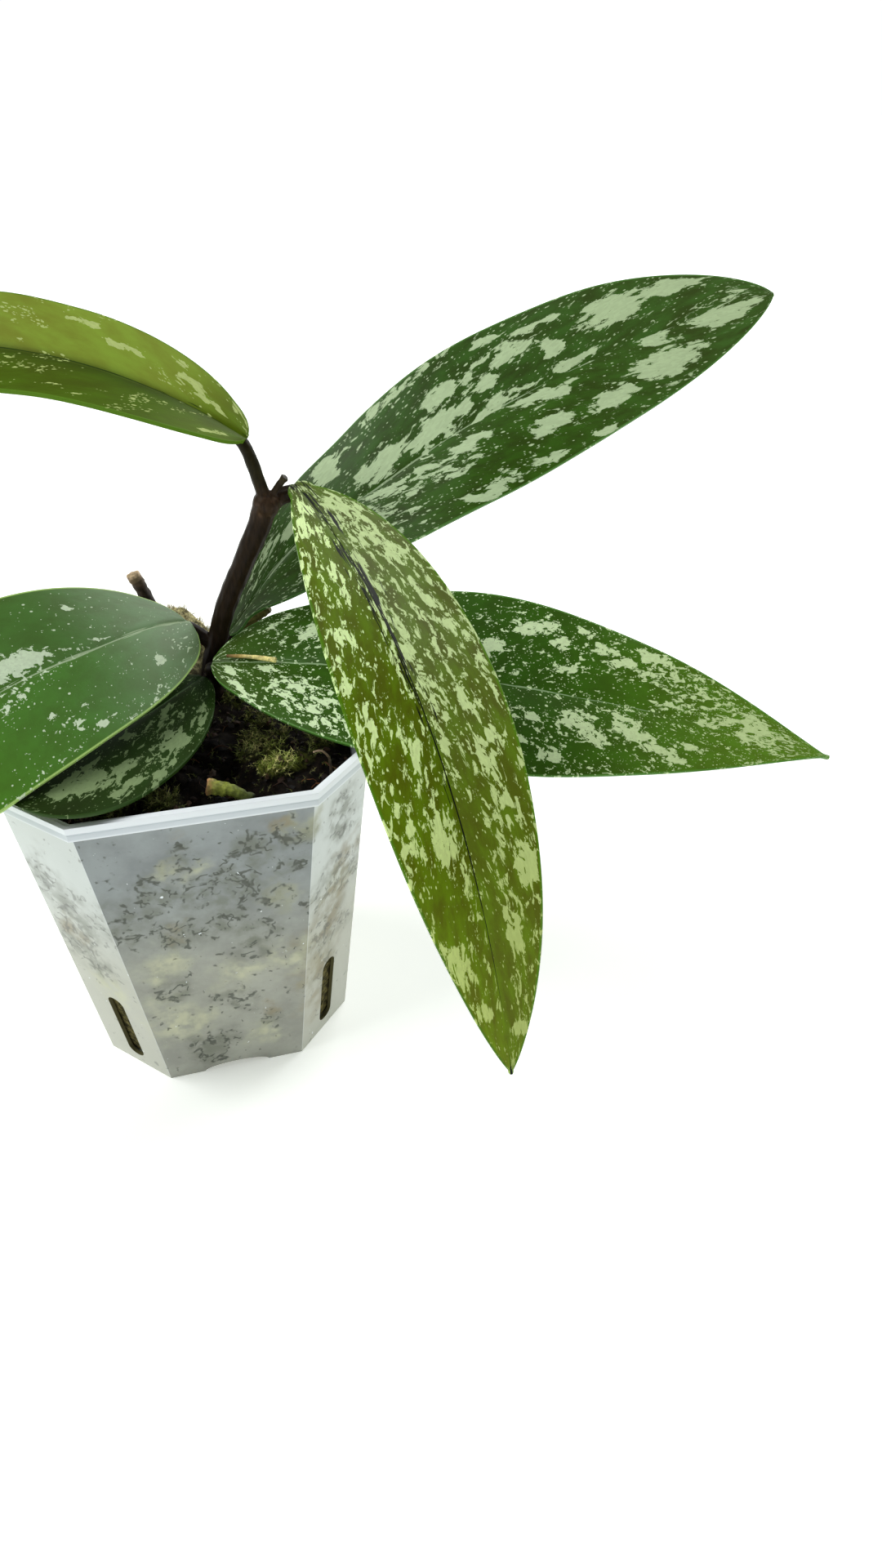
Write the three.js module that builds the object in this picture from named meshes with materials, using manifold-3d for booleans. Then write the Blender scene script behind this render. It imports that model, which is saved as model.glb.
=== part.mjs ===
// A potted hoya pubicalyx with silver-flecked leaves, in mm, +Z up.
// The origin is the middle of the pot's flat base. The pot's front wall faces -Y.
// Every mesh is one closed body, and meshes that meet stand a thin gap apart.
import * as THREE from "three";
import { mergeVertices } from "three/addons/utils/BufferGeometryUtils.js";
import Module from "manifold-3d";

const wasm = await Module();
wasm.setup();

const GAP = 0.3; // clearance between two pieces that meet
const SEED = 7; // of the drawn moss lumps

// The pot is square with cut corners and widens upwards.
const POT = {
  height: 80,
  baseHalf: 27.5, // half width over the walls at the base
  topHalf: 34, // half width over the walls at the rim
  lipHalf: 35, // half width over the rim lip
  lipHeight: 3.2,
  cutShare: 0.37, // corner cut as a share of the half width
  cornerRadius: 1.6,
  wall: 0.9,
  floor: 1.2,
};
// A drain slot stands in each cut corner. away and reach place the solid that cuts it.
const SLOT = { width: 4.5, bottom: 2.2, top: 21, away: 37, reach: 30, sides: 20 };
// Each side has a low arch under it, with a thicker floor as its cover.
const ARCH = { halfWidth: 9, height: 1.8, depth: 7, cover: 3, margin: 1.5, through: 4, sides: 20 };

// The soil surface lies under the rim and mounds up at the back.
const SOIL = {
  wallGap: 0.35,
  bottom: ARCH.cover + GAP,
  level: 72,
  frontDip: 1.2,
  mound: { x: -4, y: 28.5, height: 17.5, spread: 10.5, stretch: 1.38 },
  rings: [1, 0.84, 0.66, 0.48, 0.3, 0.12],
  headroom: 20,
};
// Unevenness of the soil: height of each wave, its turn per mm along x and along y, and its start.
const SOIL_WAVES = [
  [0.6, 0.42, 0.37, 1.1],
  [0.42, 0.83, -0.71, 2],
  [0.28, 0.9, 1.21, 1.6],
];
// Lumps of moss: their number, radii, spread over the soil, depth and flatness. swell is the
// share by which bumps, with their turns per mm along x and y, widen them.
const LUMPS = {
  count: 10,
  small: 2.2,
  large: 4.2,
  reach: 0.74,
  sunk: 0.38,
  flat: 0.8,
  swell: 0.16,
  bumps: [1.7, 1.3],
};
// The lumps that stand out in front of the stem: x, y, radius.
const SHOWN_LUMPS = [
  [15.6, -15, 3.4],
  [19.2, -13.5, 2.4],
  [13.6, -5.5, 3],
  [26, -9, 2.6],
  [12.5, 3.6, 2.4],
  [-4, -24, 3],
];

// The main stem from its foot in the soil to the top node, and its radius.
const STEM = {
  path: [
    [6.6, 15.5, 58],
    [6.4, 15, 68],
    [6.0, 13, 76],
    [6.4, 11.7, 82],
    [8.6, 11.5, 88],
    [11.3, 11.2, 96],
    [15.6, 10.8, 105],
    [19.3, 10.3, 112.5],
    [21.1, 10, 117.8],
  ],
  radius: 2.15,
  arcs: 5,
  steps: 18,
};
// Swellings at the nodes: place and radius.
const NODES = [
  [[21.1, 10, 117.2], 2.75],
  [[6.1, 13, 76], 2.9],
];
// Each petiole ends in a knob this much wider, a little more than the gap away from its blade.
const PETIOLE = { knob: 0.1, slack: 0.05, steps: 5 };
// The cut side shoot at the top node ends in a small bulb.
const NUB = {
  path: [[21.6, 9.9, 117.5], [23.6, 9.4, 120.6], [25.1, 9, 122.4]],
  radius: 0.85,
  bulb: 1.15,
};

// A leaf starts at base and runs along its midrib. heading and rise are its first direction;
// sweep and droop add to them along the way, lift adds again towards the tip.
// roll raises the blade's right-hand edge about the midrib, twist adds to it along the way.
// baseShape and tipShape are the powers of the outline; fold and cup shape its section.
const LEAVES = {
  leaf_top_left: {
    base: [18.6, 12.3, 128.7], petiole: [[21, 10, 117], [20.2, 10.4, 121.5]],
    petioleRadius: 1.35, heading: 153.5, sweep: 11.5, rise: 29, droop: -63, lift: 1,
    roll: 12, twist: 14.5, length: 117, width: 31, baseShape: 0.57, tipShape: 0.82,
    fold: 11.5, cup: 0.06, waves: 2, waveHeight: 0.5, color: "#7f9a3a",
  },
  leaf_front: {
    base: [27, 10.6, 120], petiole: [[21, 10.2, 115.4], [23.6, 11.8, 117.4]],
    petioleRadius: 1.8, heading: -72.5, sweep: -10.5, rise: -9.5, droop: -71, lift: 13.5,
    roll: -16, twist: -1.5, length: 122, width: 28.5, baseShape: 0.81, tipShape: 0.88,
    fold: 22, cup: 0.04, waves: 3, waveHeight: 0.4, color: "#6b7f2c",
  },
  leaf_back_right: {
    base: [11.7, 20.5, 84.9], petiole: [[6.1, 13.4, 76], [8.4, 17.6, 79]],
    petioleRadius: 1.6, heading: 16, sweep: -22, rise: 42.5, droop: -40.5, lift: 13,
    roll: -25, twist: -25.5, length: 142, width: 36.5, baseShape: 0.84, tipShape: 0.72,
    fold: 5.5, cup: 0.07, waves: 3, waveHeight: 0.5, color: "#31592e",
  },
  leaf_right: {
    base: [7.1, 5.4, 86.3], petiole: [[6.1, 12.6, 76.4], [7.6, 10, 80.5], [6.8, 8, 83.5]],
    petioleRadius: 1.6, heading: -24, sweep: 5.5, rise: 7.5, droop: -32.5, lift: 10.5,
    roll: -19.5, twist: -24, length: 128, width: 40.5, baseShape: 0.69, tipShape: 1.12,
    fold: 7.5, cup: 0.07, waves: 3, waveHeight: 0.5, color: "#2f6a27",
  },
  leaf_left: {
    base: [4.4, 11.1, 90.9], petiole: [[8, 11.6, 85.6], [7, 12.1, 88]],
    petioleRadius: 1.6, heading: 215, sweep: 6, rise: 18.7, droop: -70.5, lift: -2.5,
    roll: 32, twist: -13.5, length: 123, width: 37, baseShape: 0.57, tipShape: 0.94,
    fold: 5, cup: 0.07, waves: 2, waveHeight: 0.4, color: "#2f6a2a",
  },
  leaf_lower_left: {
    base: [4.7, 7.3, 82.2], petiole: [[6.1, 12.8, 76.4], [6.4, 10.8, 79.6]],
    petioleRadius: 1.5, heading: 230, sweep: -7, rise: 0, droop: 6.5, lift: 0,
    roll: 4, twist: 6.5, length: 52, width: 32.5, baseShape: 0.67, tipShape: 0.4,
    fold: 6, cup: 0.08, waves: 1, waveHeight: 0.2, color: "#27492a",
  },
};
// Every blade: half thickness at the midrib and the edge, the rib below it, its end widths and its grid.
const BLADE = {
  ribHalf: 0.62,
  edgeHalf: 0.36,
  keel: 0.5,
  baseHalfWidth: 1.2,
  tipHalfWidth: 0.35,
  along: 18,
  crowding: 0.7,
  across: [-1, -0.8, -0.55, -0.25, 0, 0.25, 0.55, 0.8, 1],
};

// Small pieces: the paths of their middle lines and their radii.
const CUT_STUB = { path: [[-3.4, 27, 78], [-4, 27, 90], [-6.6, 27, 98.2]], radius: 1.1 };
const MOSSY_STICK = { path: [[2.6, -21.6, 75.2], [6.5, -23, 74.6], [10.5, -24, 72.6]], radius: 1.5 };
const CURLED_ROOT = {
  path: [[23.6, -17, 76.6], [25, -18, 77.4], [26.2, -18.8, 76.4], [26.6, -18.9, 74], [26.4, -18.6, 69]],
  radius: 0.45,
  arcs: 3,
  steps: 12,
};
const MOSS_STRAND = {
  path: [[11.5, 27, 74], [13.6, 26.6, 82], [17.1, 26.4, 84.2], [21.6, 26.2, 86.9]],
  radius: 0.7,
  arcs: 3,
  steps: 10,
};
// The dry twig lies along the right leaf: shares of its length, side and height over the blade.
const DRY_TWIG = {
  from: 0.03,
  to: 0.125,
  side: -0.12,
  height: 0.35,
  radius: 0.5,
  steps: 4,
  stations: 200,
};

const COLORS = {
  pot: "#dfe4e6",
  substrate: "#2b2a1c",
  stem: "#24150f",
  cut_stub: "#4a2e1c",
  mossy_stick: "#6f7434",
  curled_root: "#a5764b",
  moss_strand: "#4c4322",
  dry_twig: "#c9b45c",
};

const root = new THREE.Group();
root.name = "potted_hoya";

function vec(point) {
  return new THREE.Vector3(...point);
}

function radians(degrees) {
  return THREE.MathUtils.degToRad(degrees);
}

// A repeatable stream of numbers from 0 to 1.
function drawer(seed) {
  let state = seed;
  return () => {
    state = (Math.imul(state, 1664525) + 1013904223) >>> 0;
    return state / 2 ** 32;
  };
}

// A closed solid from a geometry.
function solid(geometry) {
  const plain = new THREE.BufferGeometry();
  plain.setAttribute("position", geometry.getAttribute("position").clone());
  if (geometry.index) plain.setIndex(geometry.index.clone());
  const merged = mergeVertices(plain, 1e-4);
  return new wasm.Manifold(
    new wasm.Mesh({
      numProp: 3,
      vertProperties: new Float32Array(merged.attributes.position.array),
      triVerts: new Uint32Array(merged.index.array),
    }),
  );
}

function fuse(solids) {
  return wasm.Manifold.union(solids);
}

// The largest body of a solid, without crumbs that a cut leaves behind.
function largest(body) {
  return body.decompose().reduce((best, one) => (one.volume() > best.volume() ? one : best));
}

// Adds a solid to the part as a named mesh.
function add(name, body, color) {
  const mesh = body.getMesh();
  const geometry = new THREE.BufferGeometry();
  geometry.setAttribute("position", new THREE.BufferAttribute(mesh.vertProperties, 3));
  geometry.setIndex(new THREE.BufferAttribute(mesh.triVerts, 1));
  geometry.computeVertexNormals();
  const piece = new THREE.Mesh(geometry, new THREE.MeshStandardMaterial({ color }));
  piece.name = name;
  root.add(piece);
}

// A closed body through rings of points, each ring counter-clockwise seen from the last one.
function loft(rings) {
  const size = rings[0].length;
  const points = rings.flat();
  const faces = [];
  for (let r = 0; r + 1 < rings.length; r += 1) {
    for (let k = 0; k < size; k += 1) {
      const a = r * size + k;
      const b = r * size + ((k + 1) % size);
      faces.push(a, b, b + size, a, b + size, a + size);
    }
  }
  const middle = (ring) => ring.reduce((sum, p) => sum.add(p), new THREE.Vector3()).divideScalar(size);
  const first = points.push(middle(rings[0])) - 1;
  const last = points.push(middle(rings.at(-1))) - 1;
  const top = (rings.length - 1) * size;
  for (let k = 0; k < size; k += 1) {
    faces.push(first, (k + 1) % size, k);
    faces.push(last, top + k, top + ((k + 1) % size));
  }
  const geometry = new THREE.BufferGeometry().setFromPoints(points);
  geometry.setIndex(faces);
  return solid(geometry);
}

// The outline of a square with cut and rounded corners, counter-clockwise, at one height.
function outline(half, z, radius = POT.cornerRadius) {
  const cut = half * POT.cutShare;
  const corners = [];
  for (let quarter = 0; quarter < 4; quarter += 1) {
    for (const [x, y] of [[half, -(half - cut)], [half, half - cut]]) {
      corners.push(new THREE.Vector2(x, y).rotateAround(new THREE.Vector2(), (quarter * Math.PI) / 2));
    }
  }
  const ring = [];
  corners.forEach((corner, k) => {
    const before = corners[(k + 7) % 8].clone().sub(corner).normalize();
    const after = corners[(k + 1) % 8].clone().sub(corner).normalize();
    const reach = radius * Math.tan(Math.PI / 8);
    for (const share of [0, 0.5, 1]) {
      const from = corner.clone().addScaledVector(before, reach * (1 - share) ** 2);
      const point = from.addScaledVector(after, reach * share ** 2);
      ring.push(new THREE.Vector3(point.x, point.y, z));
    }
  });
  return ring;
}

function wallHalf(z) {
  return POT.baseHalf + ((POT.topHalf - POT.baseHalf) * z) / POT.height;
}

function box(sizeX, sizeY, sizeZ, x, y, z) {
  return solid(new THREE.BoxGeometry(sizeX, sizeY, sizeZ)).translate([x, y, z]);
}

// The solid that cuts one drain slot, on the -Y side.
function slotCut() {
  const height = SLOT.top - SLOT.bottom - SLOT.width / 2;
  const round = new THREE.CylinderGeometry(SLOT.width / 2, SLOT.width / 2, SLOT.reach, SLOT.sides);
  return fuse([
    box(SLOT.width, SLOT.reach, height, 0, -SLOT.away, SLOT.bottom + height / 2),
    solid(round).translate([0, -SLOT.away, SLOT.bottom + height]),
  ]);
}

// The solid that cuts one arch, on the -Y side.
function archCut() {
  const length = ARCH.depth + ARCH.through;
  const round = new THREE.CylinderGeometry(1, 1, length, ARCH.sides).scale(ARCH.halfWidth, 1, ARCH.height);
  return solid(round).translate([0, -(POT.baseHalf - ARCH.depth + length / 2), 0]);
}

// The thicker floor over one arch, on the -Y side, reaching half into the wall.
function archCover() {
  const depth = ARCH.depth + ARCH.margin;
  const middle = POT.baseHalf - POT.wall / 2 - depth / 2;
  return box(2 * (ARCH.halfWidth + ARCH.margin), depth, ARCH.cover, 0, -middle, ARCH.cover / 2);
}

// The pot: walls, lip and floor, less the drain slots and the arches.
function makePot() {
  const walls = loft([outline(POT.baseHalf, 0), outline(POT.topHalf, POT.height)]);
  const lip = loft([
    outline(POT.lipHalf, POT.height - POT.lipHeight),
    outline(POT.lipHalf, POT.height),
  ]);
  const above = POT.height + 1;
  const inside = loft([
    outline(wallHalf(POT.floor) - POT.wall, POT.floor),
    outline(wallHalf(above) - POT.wall, above),
  ]);
  const covers = [];
  const cuts = [];
  for (const turn of [0, 90, 180, 270]) {
    covers.push(archCover().rotate([0, 0, turn]));
    cuts.push(archCut().rotate([0, 0, turn]));
    cuts.push(slotCut().rotate([0, 0, turn + 45]));
  }
  const shell = fuse([walls, lip]).subtract(inside);
  return fuse([shell, ...covers]).subtract(fuse(cuts));
}

function unevenness(x, y) {
  return SOIL_WAVES.reduce((sum, [high, alongX, alongY, start]) => {
    return sum + high * Math.sin(alongX * x + alongY * y + start);
  }, 0);
}

function soilHeight(x, y) {
  const { mound } = SOIL;
  const away = Math.hypot((x - mound.x) / mound.stretch, y - mound.y) / mound.spread;
  const dip = SOIL.frontDip * THREE.MathUtils.clamp(-y / POT.topHalf, 0, 1);
  return SOIL.level - dip + mound.height * Math.exp(-away * away) + unevenness(x, y);
}

// Half the soil's width at a height, inside the pot's walls.
function soilHalf(z) {
  return wallHalf(Math.min(z, POT.height)) - POT.wall - SOIL.wallGap;
}

// A point of the soil's surface, from its place in a square of half width 1.
function soilPoint(x, y) {
  // The walls lean out, so width and height are found together in a few passes.
  let z = SOIL.level;
  for (let pass = 0; pass < 3; pass += 1) z = soilHeight(x * soilHalf(z), y * soilHalf(z));
  return new THREE.Vector3(x * soilHalf(z), y * soilHalf(z), z);
}

// One lump of moss, sunk into the soil's surface.
function mossLump(x, y, radius) {
  const lump = new THREE.IcosahedronGeometry(radius, 1);
  const position = lump.getAttribute("position");
  const point = new THREE.Vector3();
  const [turnX, turnY] = LUMPS.bumps;
  for (let k = 0; k < position.count; k += 1) {
    point.fromBufferAttribute(position, k);
    const swell = 1 + LUMPS.swell * Math.sin(turnX * point.x + x) * Math.cos(turnY * point.y + y);
    position.setXYZ(k, point.x * swell, point.y * swell, point.z * swell * LUMPS.flat);
  }
  return solid(lump).translate([x, y, soilHeight(x, y) - radius * LUMPS.sunk]);
}

// The soil and the moss grown into it, without the holes for what stands in it.
function makeSoil(draw) {
  const rings = [outline(soilHalf(SOIL.bottom), SOIL.bottom)];
  const square = outline(1, 0, POT.cornerRadius / POT.topHalf);
  for (const share of SOIL.rings) rings.push(square.map((p) => soilPoint(p.x * share, p.y * share)));
  const lumps = SHOWN_LUMPS.map(([x, y, radius]) => mossLump(x, y, radius));
  for (let k = 0; k < LUMPS.count; k += 1) {
    const angle = 2 * Math.PI * draw();
    const away = POT.topHalf * LUMPS.reach * Math.sqrt(draw());
    const radius = THREE.MathUtils.lerp(LUMPS.small, LUMPS.large, draw());
    lumps.push(mossLump(away * Math.cos(angle), away * Math.sin(angle), radius));
  }
  const room = loft([
    outline(soilHalf(SOIL.bottom), SOIL.bottom),
    outline(soilHalf(POT.height), POT.height),
    outline(soilHalf(POT.height), POT.height + SOIL.headroom),
  ]);
  return fuse([loft(rings), fuse(lumps).intersect(room)]);
}

// A round tube of one radius along a smooth path, with twice as many sides as the arc count.
function tube(path, radius, arcs = 4, steps = 8) {
  const circle = new THREE.Shape().absarc(0, 0, radius, 0, 2 * Math.PI);
  return solid(
    new THREE.ExtrudeGeometry(circle, {
      steps,
      curveSegments: arcs,
      extrudePath: new THREE.CatmullRomCurve3(path.map(vec)),
      bevelEnabled: false,
    }),
  );
}

function ball(center, radius) {
  return solid(new THREE.IcosahedronGeometry(radius, 1)).translate(center);
}

// Half the width of a leaf at a share of its length.
function halfWidth(leaf, share) {
  const peak = leaf.baseShape / (leaf.baseShape + leaf.tipShape);
  const swell = (share / peak) ** leaf.baseShape * ((1 - share) / (1 - peak)) ** leaf.tipShape;
  const least = THREE.MathUtils.lerp(BLADE.baseHalfWidth, BLADE.tipHalfWidth, share);
  return Math.max((leaf.width / 2) * swell, least);
}

// The midrib's points with the blade's directions there, closer together at the base and the tip.
function spine(leaf, count = BLADE.along) {
  const stations = [];
  const place = vec(leaf.base);
  let last = null;
  let before = 0;
  for (let k = 0; k <= count; k += 1) {
    const crowded = (1 - Math.cos((Math.PI * k) / count)) / 2;
    const share = THREE.MathUtils.lerp(k / count, crowded, BLADE.crowding);
    const heading = radians(leaf.heading + leaf.sweep * share);
    const rise = radians(leaf.rise + leaf.droop * share + leaf.lift * share * share);
    const roll = radians(leaf.roll + leaf.twist * share);
    const along = new THREE.Vector3(
      Math.cos(rise) * Math.cos(heading),
      Math.cos(rise) * Math.sin(heading),
      Math.sin(rise),
    );
    const up = new THREE.Vector3(
      -Math.sin(rise) * Math.cos(heading),
      -Math.sin(rise) * Math.sin(heading),
      Math.cos(rise),
    );
    if (last) place.addScaledVector(last.add(along).multiplyScalar(0.5), leaf.length * (share - before));
    const side = new THREE.Vector3().crossVectors(along, up).applyAxisAngle(along, -roll);
    up.applyAxisAngle(along, -roll);
    stations.push({ share, place: place.clone(), side, up });
    last = along.clone();
    before = share;
  }
  return stations;
}

// A point of the blade's middle surface, or off it by lift along the blade's up direction.
function bladePoint(leaf, station, across, lift) {
  const half = halfWidth(leaf, station.share);
  const fold = radians(leaf.fold);
  const edge = Math.abs(across);
  const wave = leaf.waveHeight * Math.sin(2 * Math.PI * leaf.waves * station.share + across) * edge ** 3;
  const rise = half * (edge * Math.sin(fold) - leaf.cup * edge * edge);
  return station.place.clone()
    .addScaledVector(station.side, half * across * Math.cos(fold))
    .addScaledVector(station.up, rise + lift + wave * Math.sin(Math.PI * station.share));
}

// A leaf blade: two faces triangulated alike, closed along its edges and ends.
function makeBlade(leaf) {
  const rings = spine(leaf).map((station) => {
    const top = [];
    const under = [];
    for (const across of BLADE.across) {
      const edge = Math.abs(across);
      const half = THREE.MathUtils.lerp(BLADE.ribHalf, BLADE.edgeHalf, edge);
      const keel = across === 0 ? BLADE.keel * (1 - station.share) : 0;
      top.push(bladePoint(leaf, station, across, half));
      under.push(bladePoint(leaf, station, across, -half - keel));
    }
    return [...top, ...under.reverse()];
  });
  return sheet(rings);
}

// A closed body whose rings run out along one face and back along the other.
function sheet(rings) {
  const size = rings[0].length;
  const width = size / 2;
  const faces = [];
  for (let r = 0; r + 1 < rings.length; r += 1) {
    for (let k = 0; k < size; k += 1) {
      const a = r * size + k;
      const b = r * size + ((k + 1) % size);
      // The second face runs backwards, so its quads are cut along the other diagonal.
      if (k < width) faces.push(a, b, b + size, a, b + size, a + size);
      else faces.push(a, b, a + size, b, b + size, a + size);
    }
  }
  const cap = (start, flip) => {
    for (let k = 0; k + 1 < width; k += 1) {
      const quad = [start + k, start + k + 1, start + size - 2 - k, start + size - 1 - k];
      if (flip) quad.reverse();
      faces.push(quad[0], quad[2], quad[1], quad[0], quad[3], quad[2]);
    }
  };
  cap(0, false);
  cap((rings.length - 1) * size, true);
  const geometry = new THREE.BufferGeometry().setFromPoints(rings.flat());
  geometry.setIndex(faces);
  return solid(geometry);
}

// The stem with all petioles: extra widens it, to cut its hole.
function makeStem(extra = 0) {
  const parts = [tube(STEM.path, STEM.radius + extra, STEM.arcs, STEM.steps)];
  for (const [center, radius] of NODES) parts.push(ball(center, radius + extra));
  for (const leaf of Object.values(LEAVES)) {
    const [first, second] = spine(leaf);
    const run = second.place.clone().sub(first.place).normalize();
    const knob = leaf.petioleRadius + PETIOLE.knob;
    const end = vec(leaf.base).addScaledVector(run, -(knob + GAP + PETIOLE.slack)).toArray();
    parts.push(tube([...leaf.petiole, end], leaf.petioleRadius + extra, 4, PETIOLE.steps));
    parts.push(ball(end, knob + extra));
  }
  parts.push(tube(NUB.path, NUB.radius + extra));
  parts.push(ball(NUB.path.at(-1), NUB.bulb + extra));
  return fuse(parts);
}

const standing = [
  makeStem(GAP),
  tube(CUT_STUB.path, CUT_STUB.radius + GAP),
  tube(MOSSY_STICK.path, MOSSY_STICK.radius + GAP),
  tube(CURLED_ROOT.path, CURLED_ROOT.radius + GAP),
  tube(MOSS_STRAND.path, MOSS_STRAND.radius + GAP),
];

add("pot", makePot(), COLORS.pot);
add("substrate", largest(makeSoil(drawer(SEED)).subtract(fuse(standing))), COLORS.substrate);
add("stem", makeStem(), COLORS.stem);
for (const [name, leaf] of Object.entries(LEAVES)) add(name, makeBlade(leaf), leaf.color);
add("cut_stub", tube(CUT_STUB.path, CUT_STUB.radius), COLORS.cut_stub);
add("mossy_stick", tube(MOSSY_STICK.path, MOSSY_STICK.radius), COLORS.mossy_stick);
for (const [name, piece] of [["curled_root", CURLED_ROOT], ["moss_strand", MOSS_STRAND]]) {
  add(name, tube(piece.path, piece.radius, piece.arcs, piece.steps), COLORS[name]);
}

const twigStations = spine(LEAVES.leaf_right, DRY_TWIG.stations);
const twigPath = [];
for (let k = 0; k <= DRY_TWIG.steps; k += 1) {
  const share = THREE.MathUtils.lerp(DRY_TWIG.from, DRY_TWIG.to, k / DRY_TWIG.steps);
  const station = twigStations.find((one) => one.share >= share);
  const lift = BLADE.ribHalf + DRY_TWIG.height + DRY_TWIG.radius;
  twigPath.push(bladePoint(LEAVES.leaf_right, station, DRY_TWIG.side, lift).toArray());
}
add("dry_twig", tube(twigPath, DRY_TWIG.radius), COLORS.dry_twig);

export default root;
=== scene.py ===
"""Looks of a potted hoya with silver-flecked leaves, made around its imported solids.

Measures are in millimetres in the tables and are written to the meshes in metres, in
the frame of the solids: the origin is the middle of the pot's flat base, +Z is up and
the pot's front wall faces -Y.
"""

import logging
import math
from collections.abc import Callable
from dataclasses import dataclass
from enum import Enum
from functools import partial

import bpy
import numpy as np
from mathutils import Matrix, Vector, noise


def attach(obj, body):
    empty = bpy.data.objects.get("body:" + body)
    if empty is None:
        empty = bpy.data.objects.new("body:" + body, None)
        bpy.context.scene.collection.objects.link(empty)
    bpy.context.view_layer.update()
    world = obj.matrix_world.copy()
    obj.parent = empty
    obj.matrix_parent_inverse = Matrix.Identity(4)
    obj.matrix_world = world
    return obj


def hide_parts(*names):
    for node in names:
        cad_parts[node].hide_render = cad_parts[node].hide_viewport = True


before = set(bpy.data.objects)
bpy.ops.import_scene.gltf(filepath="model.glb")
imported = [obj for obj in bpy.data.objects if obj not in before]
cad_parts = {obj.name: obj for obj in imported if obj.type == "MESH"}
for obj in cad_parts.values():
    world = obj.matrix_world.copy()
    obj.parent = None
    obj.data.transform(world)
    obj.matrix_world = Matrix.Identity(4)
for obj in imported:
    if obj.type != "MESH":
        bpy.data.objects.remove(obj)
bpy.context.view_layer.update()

log = logging.getLogger("potted_hoya")
MM = 0.001
Values = dict[str, object]
Point = tuple[float, float, float]
Color = tuple[float, float, float, float]
# On a leaf: share of the length, share across, half length and half width in mm.
# Behind the pot's wall: x, y and z of the middle, and the radius, in mm.
Spot = tuple[float, float, float, float]
Piece = bpy.types.Object
Socket = bpy.types.NodeSocket
AddNode = Callable[..., Socket]


def linear(hex_color: str) -> Color:
    """Turns an sRGB hex colour to linear.

    Args:
        hex_color: The colour as #rrggbb.

    Returns:
        Its linear red, green, blue and an alpha of 1.
    """
    parts = [int(hex_color[k:k + 2], 16) / 255 for k in (1, 3, 5)]
    flat = [p / 12.92 if p <= 0.04045 else ((p + 0.055) / 1.055) ** 2.4 for p in parts]
    return (flat[0], flat[1], flat[2], 1.0)


def add_node(
    tree: bpy.types.NodeTree, kind: str, *values: object, at: tuple[int | str, ...] = tuple(range(5)),
    output: int | str = 0, **settings: object,
) -> Socket:
    """Adds a node with its settings, values and links.

    Args:
        tree: The material's node tree.
        kind: The node's type, without ShaderNode before it.
        *values: A value or an output socket for each input.
        at: The numbers or names of the inputs that the values go to.
        output: Which output is wanted, by its number or name.
        **settings: The node's own properties.

    Returns:
        The wanted output of the new node.
    """
    node = tree.nodes.new("ShaderNode" + kind)
    for key, value in settings.items():
        setattr(node, key, value)
    for key, value in zip(at, values):
        if isinstance(value, Socket):
            tree.links.new(value, node.inputs[key])
        else:
            node.inputs[key].default_value = value
    return node.outputs[output]


# What many nodes share: a soft span, a mix or a product of two colours, a texture's inputs, a bump's inputs.
SOFT: Values = {"interpolation_type": "SMOOTHSTEP"}
MIXED: Values = {"at": (0, 6, 7), "output": 2, "data_type": "RGBA"}
TIMES: Values = {**MIXED, "blend_type": "MULTIPLY"}
GRAIN: Values = {"at": ("Vector", "Scale", "Detail", "Roughness", "Distortion")}
BUMP: Values = {"at": ("Strength", "Distance", "Height")}


def new_material(
    name: str, roughness: float, specular: float
) -> tuple[bpy.types.Material, AddNode, bpy.types.Node]:
    """Makes a material.

    Args:
        name: What the real material is.
        roughness: Of its surface.
        specular: Its specular level; 0.5 stands for an IOR of about 1.5.

    Returns:
        The material, the helper that adds nodes to it, and its shader node.
    """
    material = bpy.data.materials.new(name)
    material.use_nodes = True
    shader = material.node_tree.nodes["Principled BSDF"]
    shader.inputs["Roughness"].default_value = roughness
    shader.inputs["Specular IOR Level"].default_value = specular
    return material, partial(add_node, material.node_tree), shader


def connect(shader: bpy.types.Node, sockets: dict[str, Socket]) -> None:
    """Links outputs to the inputs of a shader that have the given names."""
    for name, socket in sockets.items():
        shader.id_data.links.new(socket, shader.inputs[name])


def choose(piece: Piece) -> None:
    """Makes one piece the only selected and the active one.

    Args:
        piece: The piece.
    """
    for other in bpy.context.selected_objects:
        other.select_set(False)
    piece.select_set(True)
    bpy.context.view_layer.objects.active = piece


def made(name: str) -> Piece:
    """Names the piece that an operator has just added.

    Args:
        name: The piece's name.

    Returns:
        The piece, with its place put into its mesh.
    """
    piece = bpy.context.object
    piece.name = name
    piece.data.name = name
    choose(piece)
    bpy.ops.object.transform_apply(location=True, rotation=True, scale=True)
    return piece


def modify(piece: Piece, kind: str, **settings: object) -> None:
    """Adds a modifier and applies it.

    Args:
        piece: The piece.
        kind: The modifier's type.
        **settings: The modifier's own properties.
    """
    choose(piece)
    modifier = piece.modifiers.new(kind.lower(), kind)
    for key, value in settings.items():
        setattr(modifier, key, value)
    bpy.ops.object.modifier_apply(modifier=modifier.name)


def edit(*steps: Callable[[], object]) -> None:
    """Takes steps in edit mode.

    Args:
        *steps: The calls to make, in their order.
    """
    bpy.ops.object.mode_set(mode="EDIT")
    for step in steps:
        step()
    bpy.ops.object.mode_set(mode="OBJECT")


def face_outwards(piece: Piece, *first: Callable[[], object]) -> None:
    """Turns all of a mesh's faces outwards.

    Args:
        piece: The mesh's object.
        *first: Steps to take before, in edit mode and with the whole mesh selected.
    """
    choose(piece)
    edit(
        partial(bpy.ops.mesh.select_all, action="SELECT"), *first,
        partial(bpy.ops.mesh.normals_make_consistent, inside=False),
    )


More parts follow.
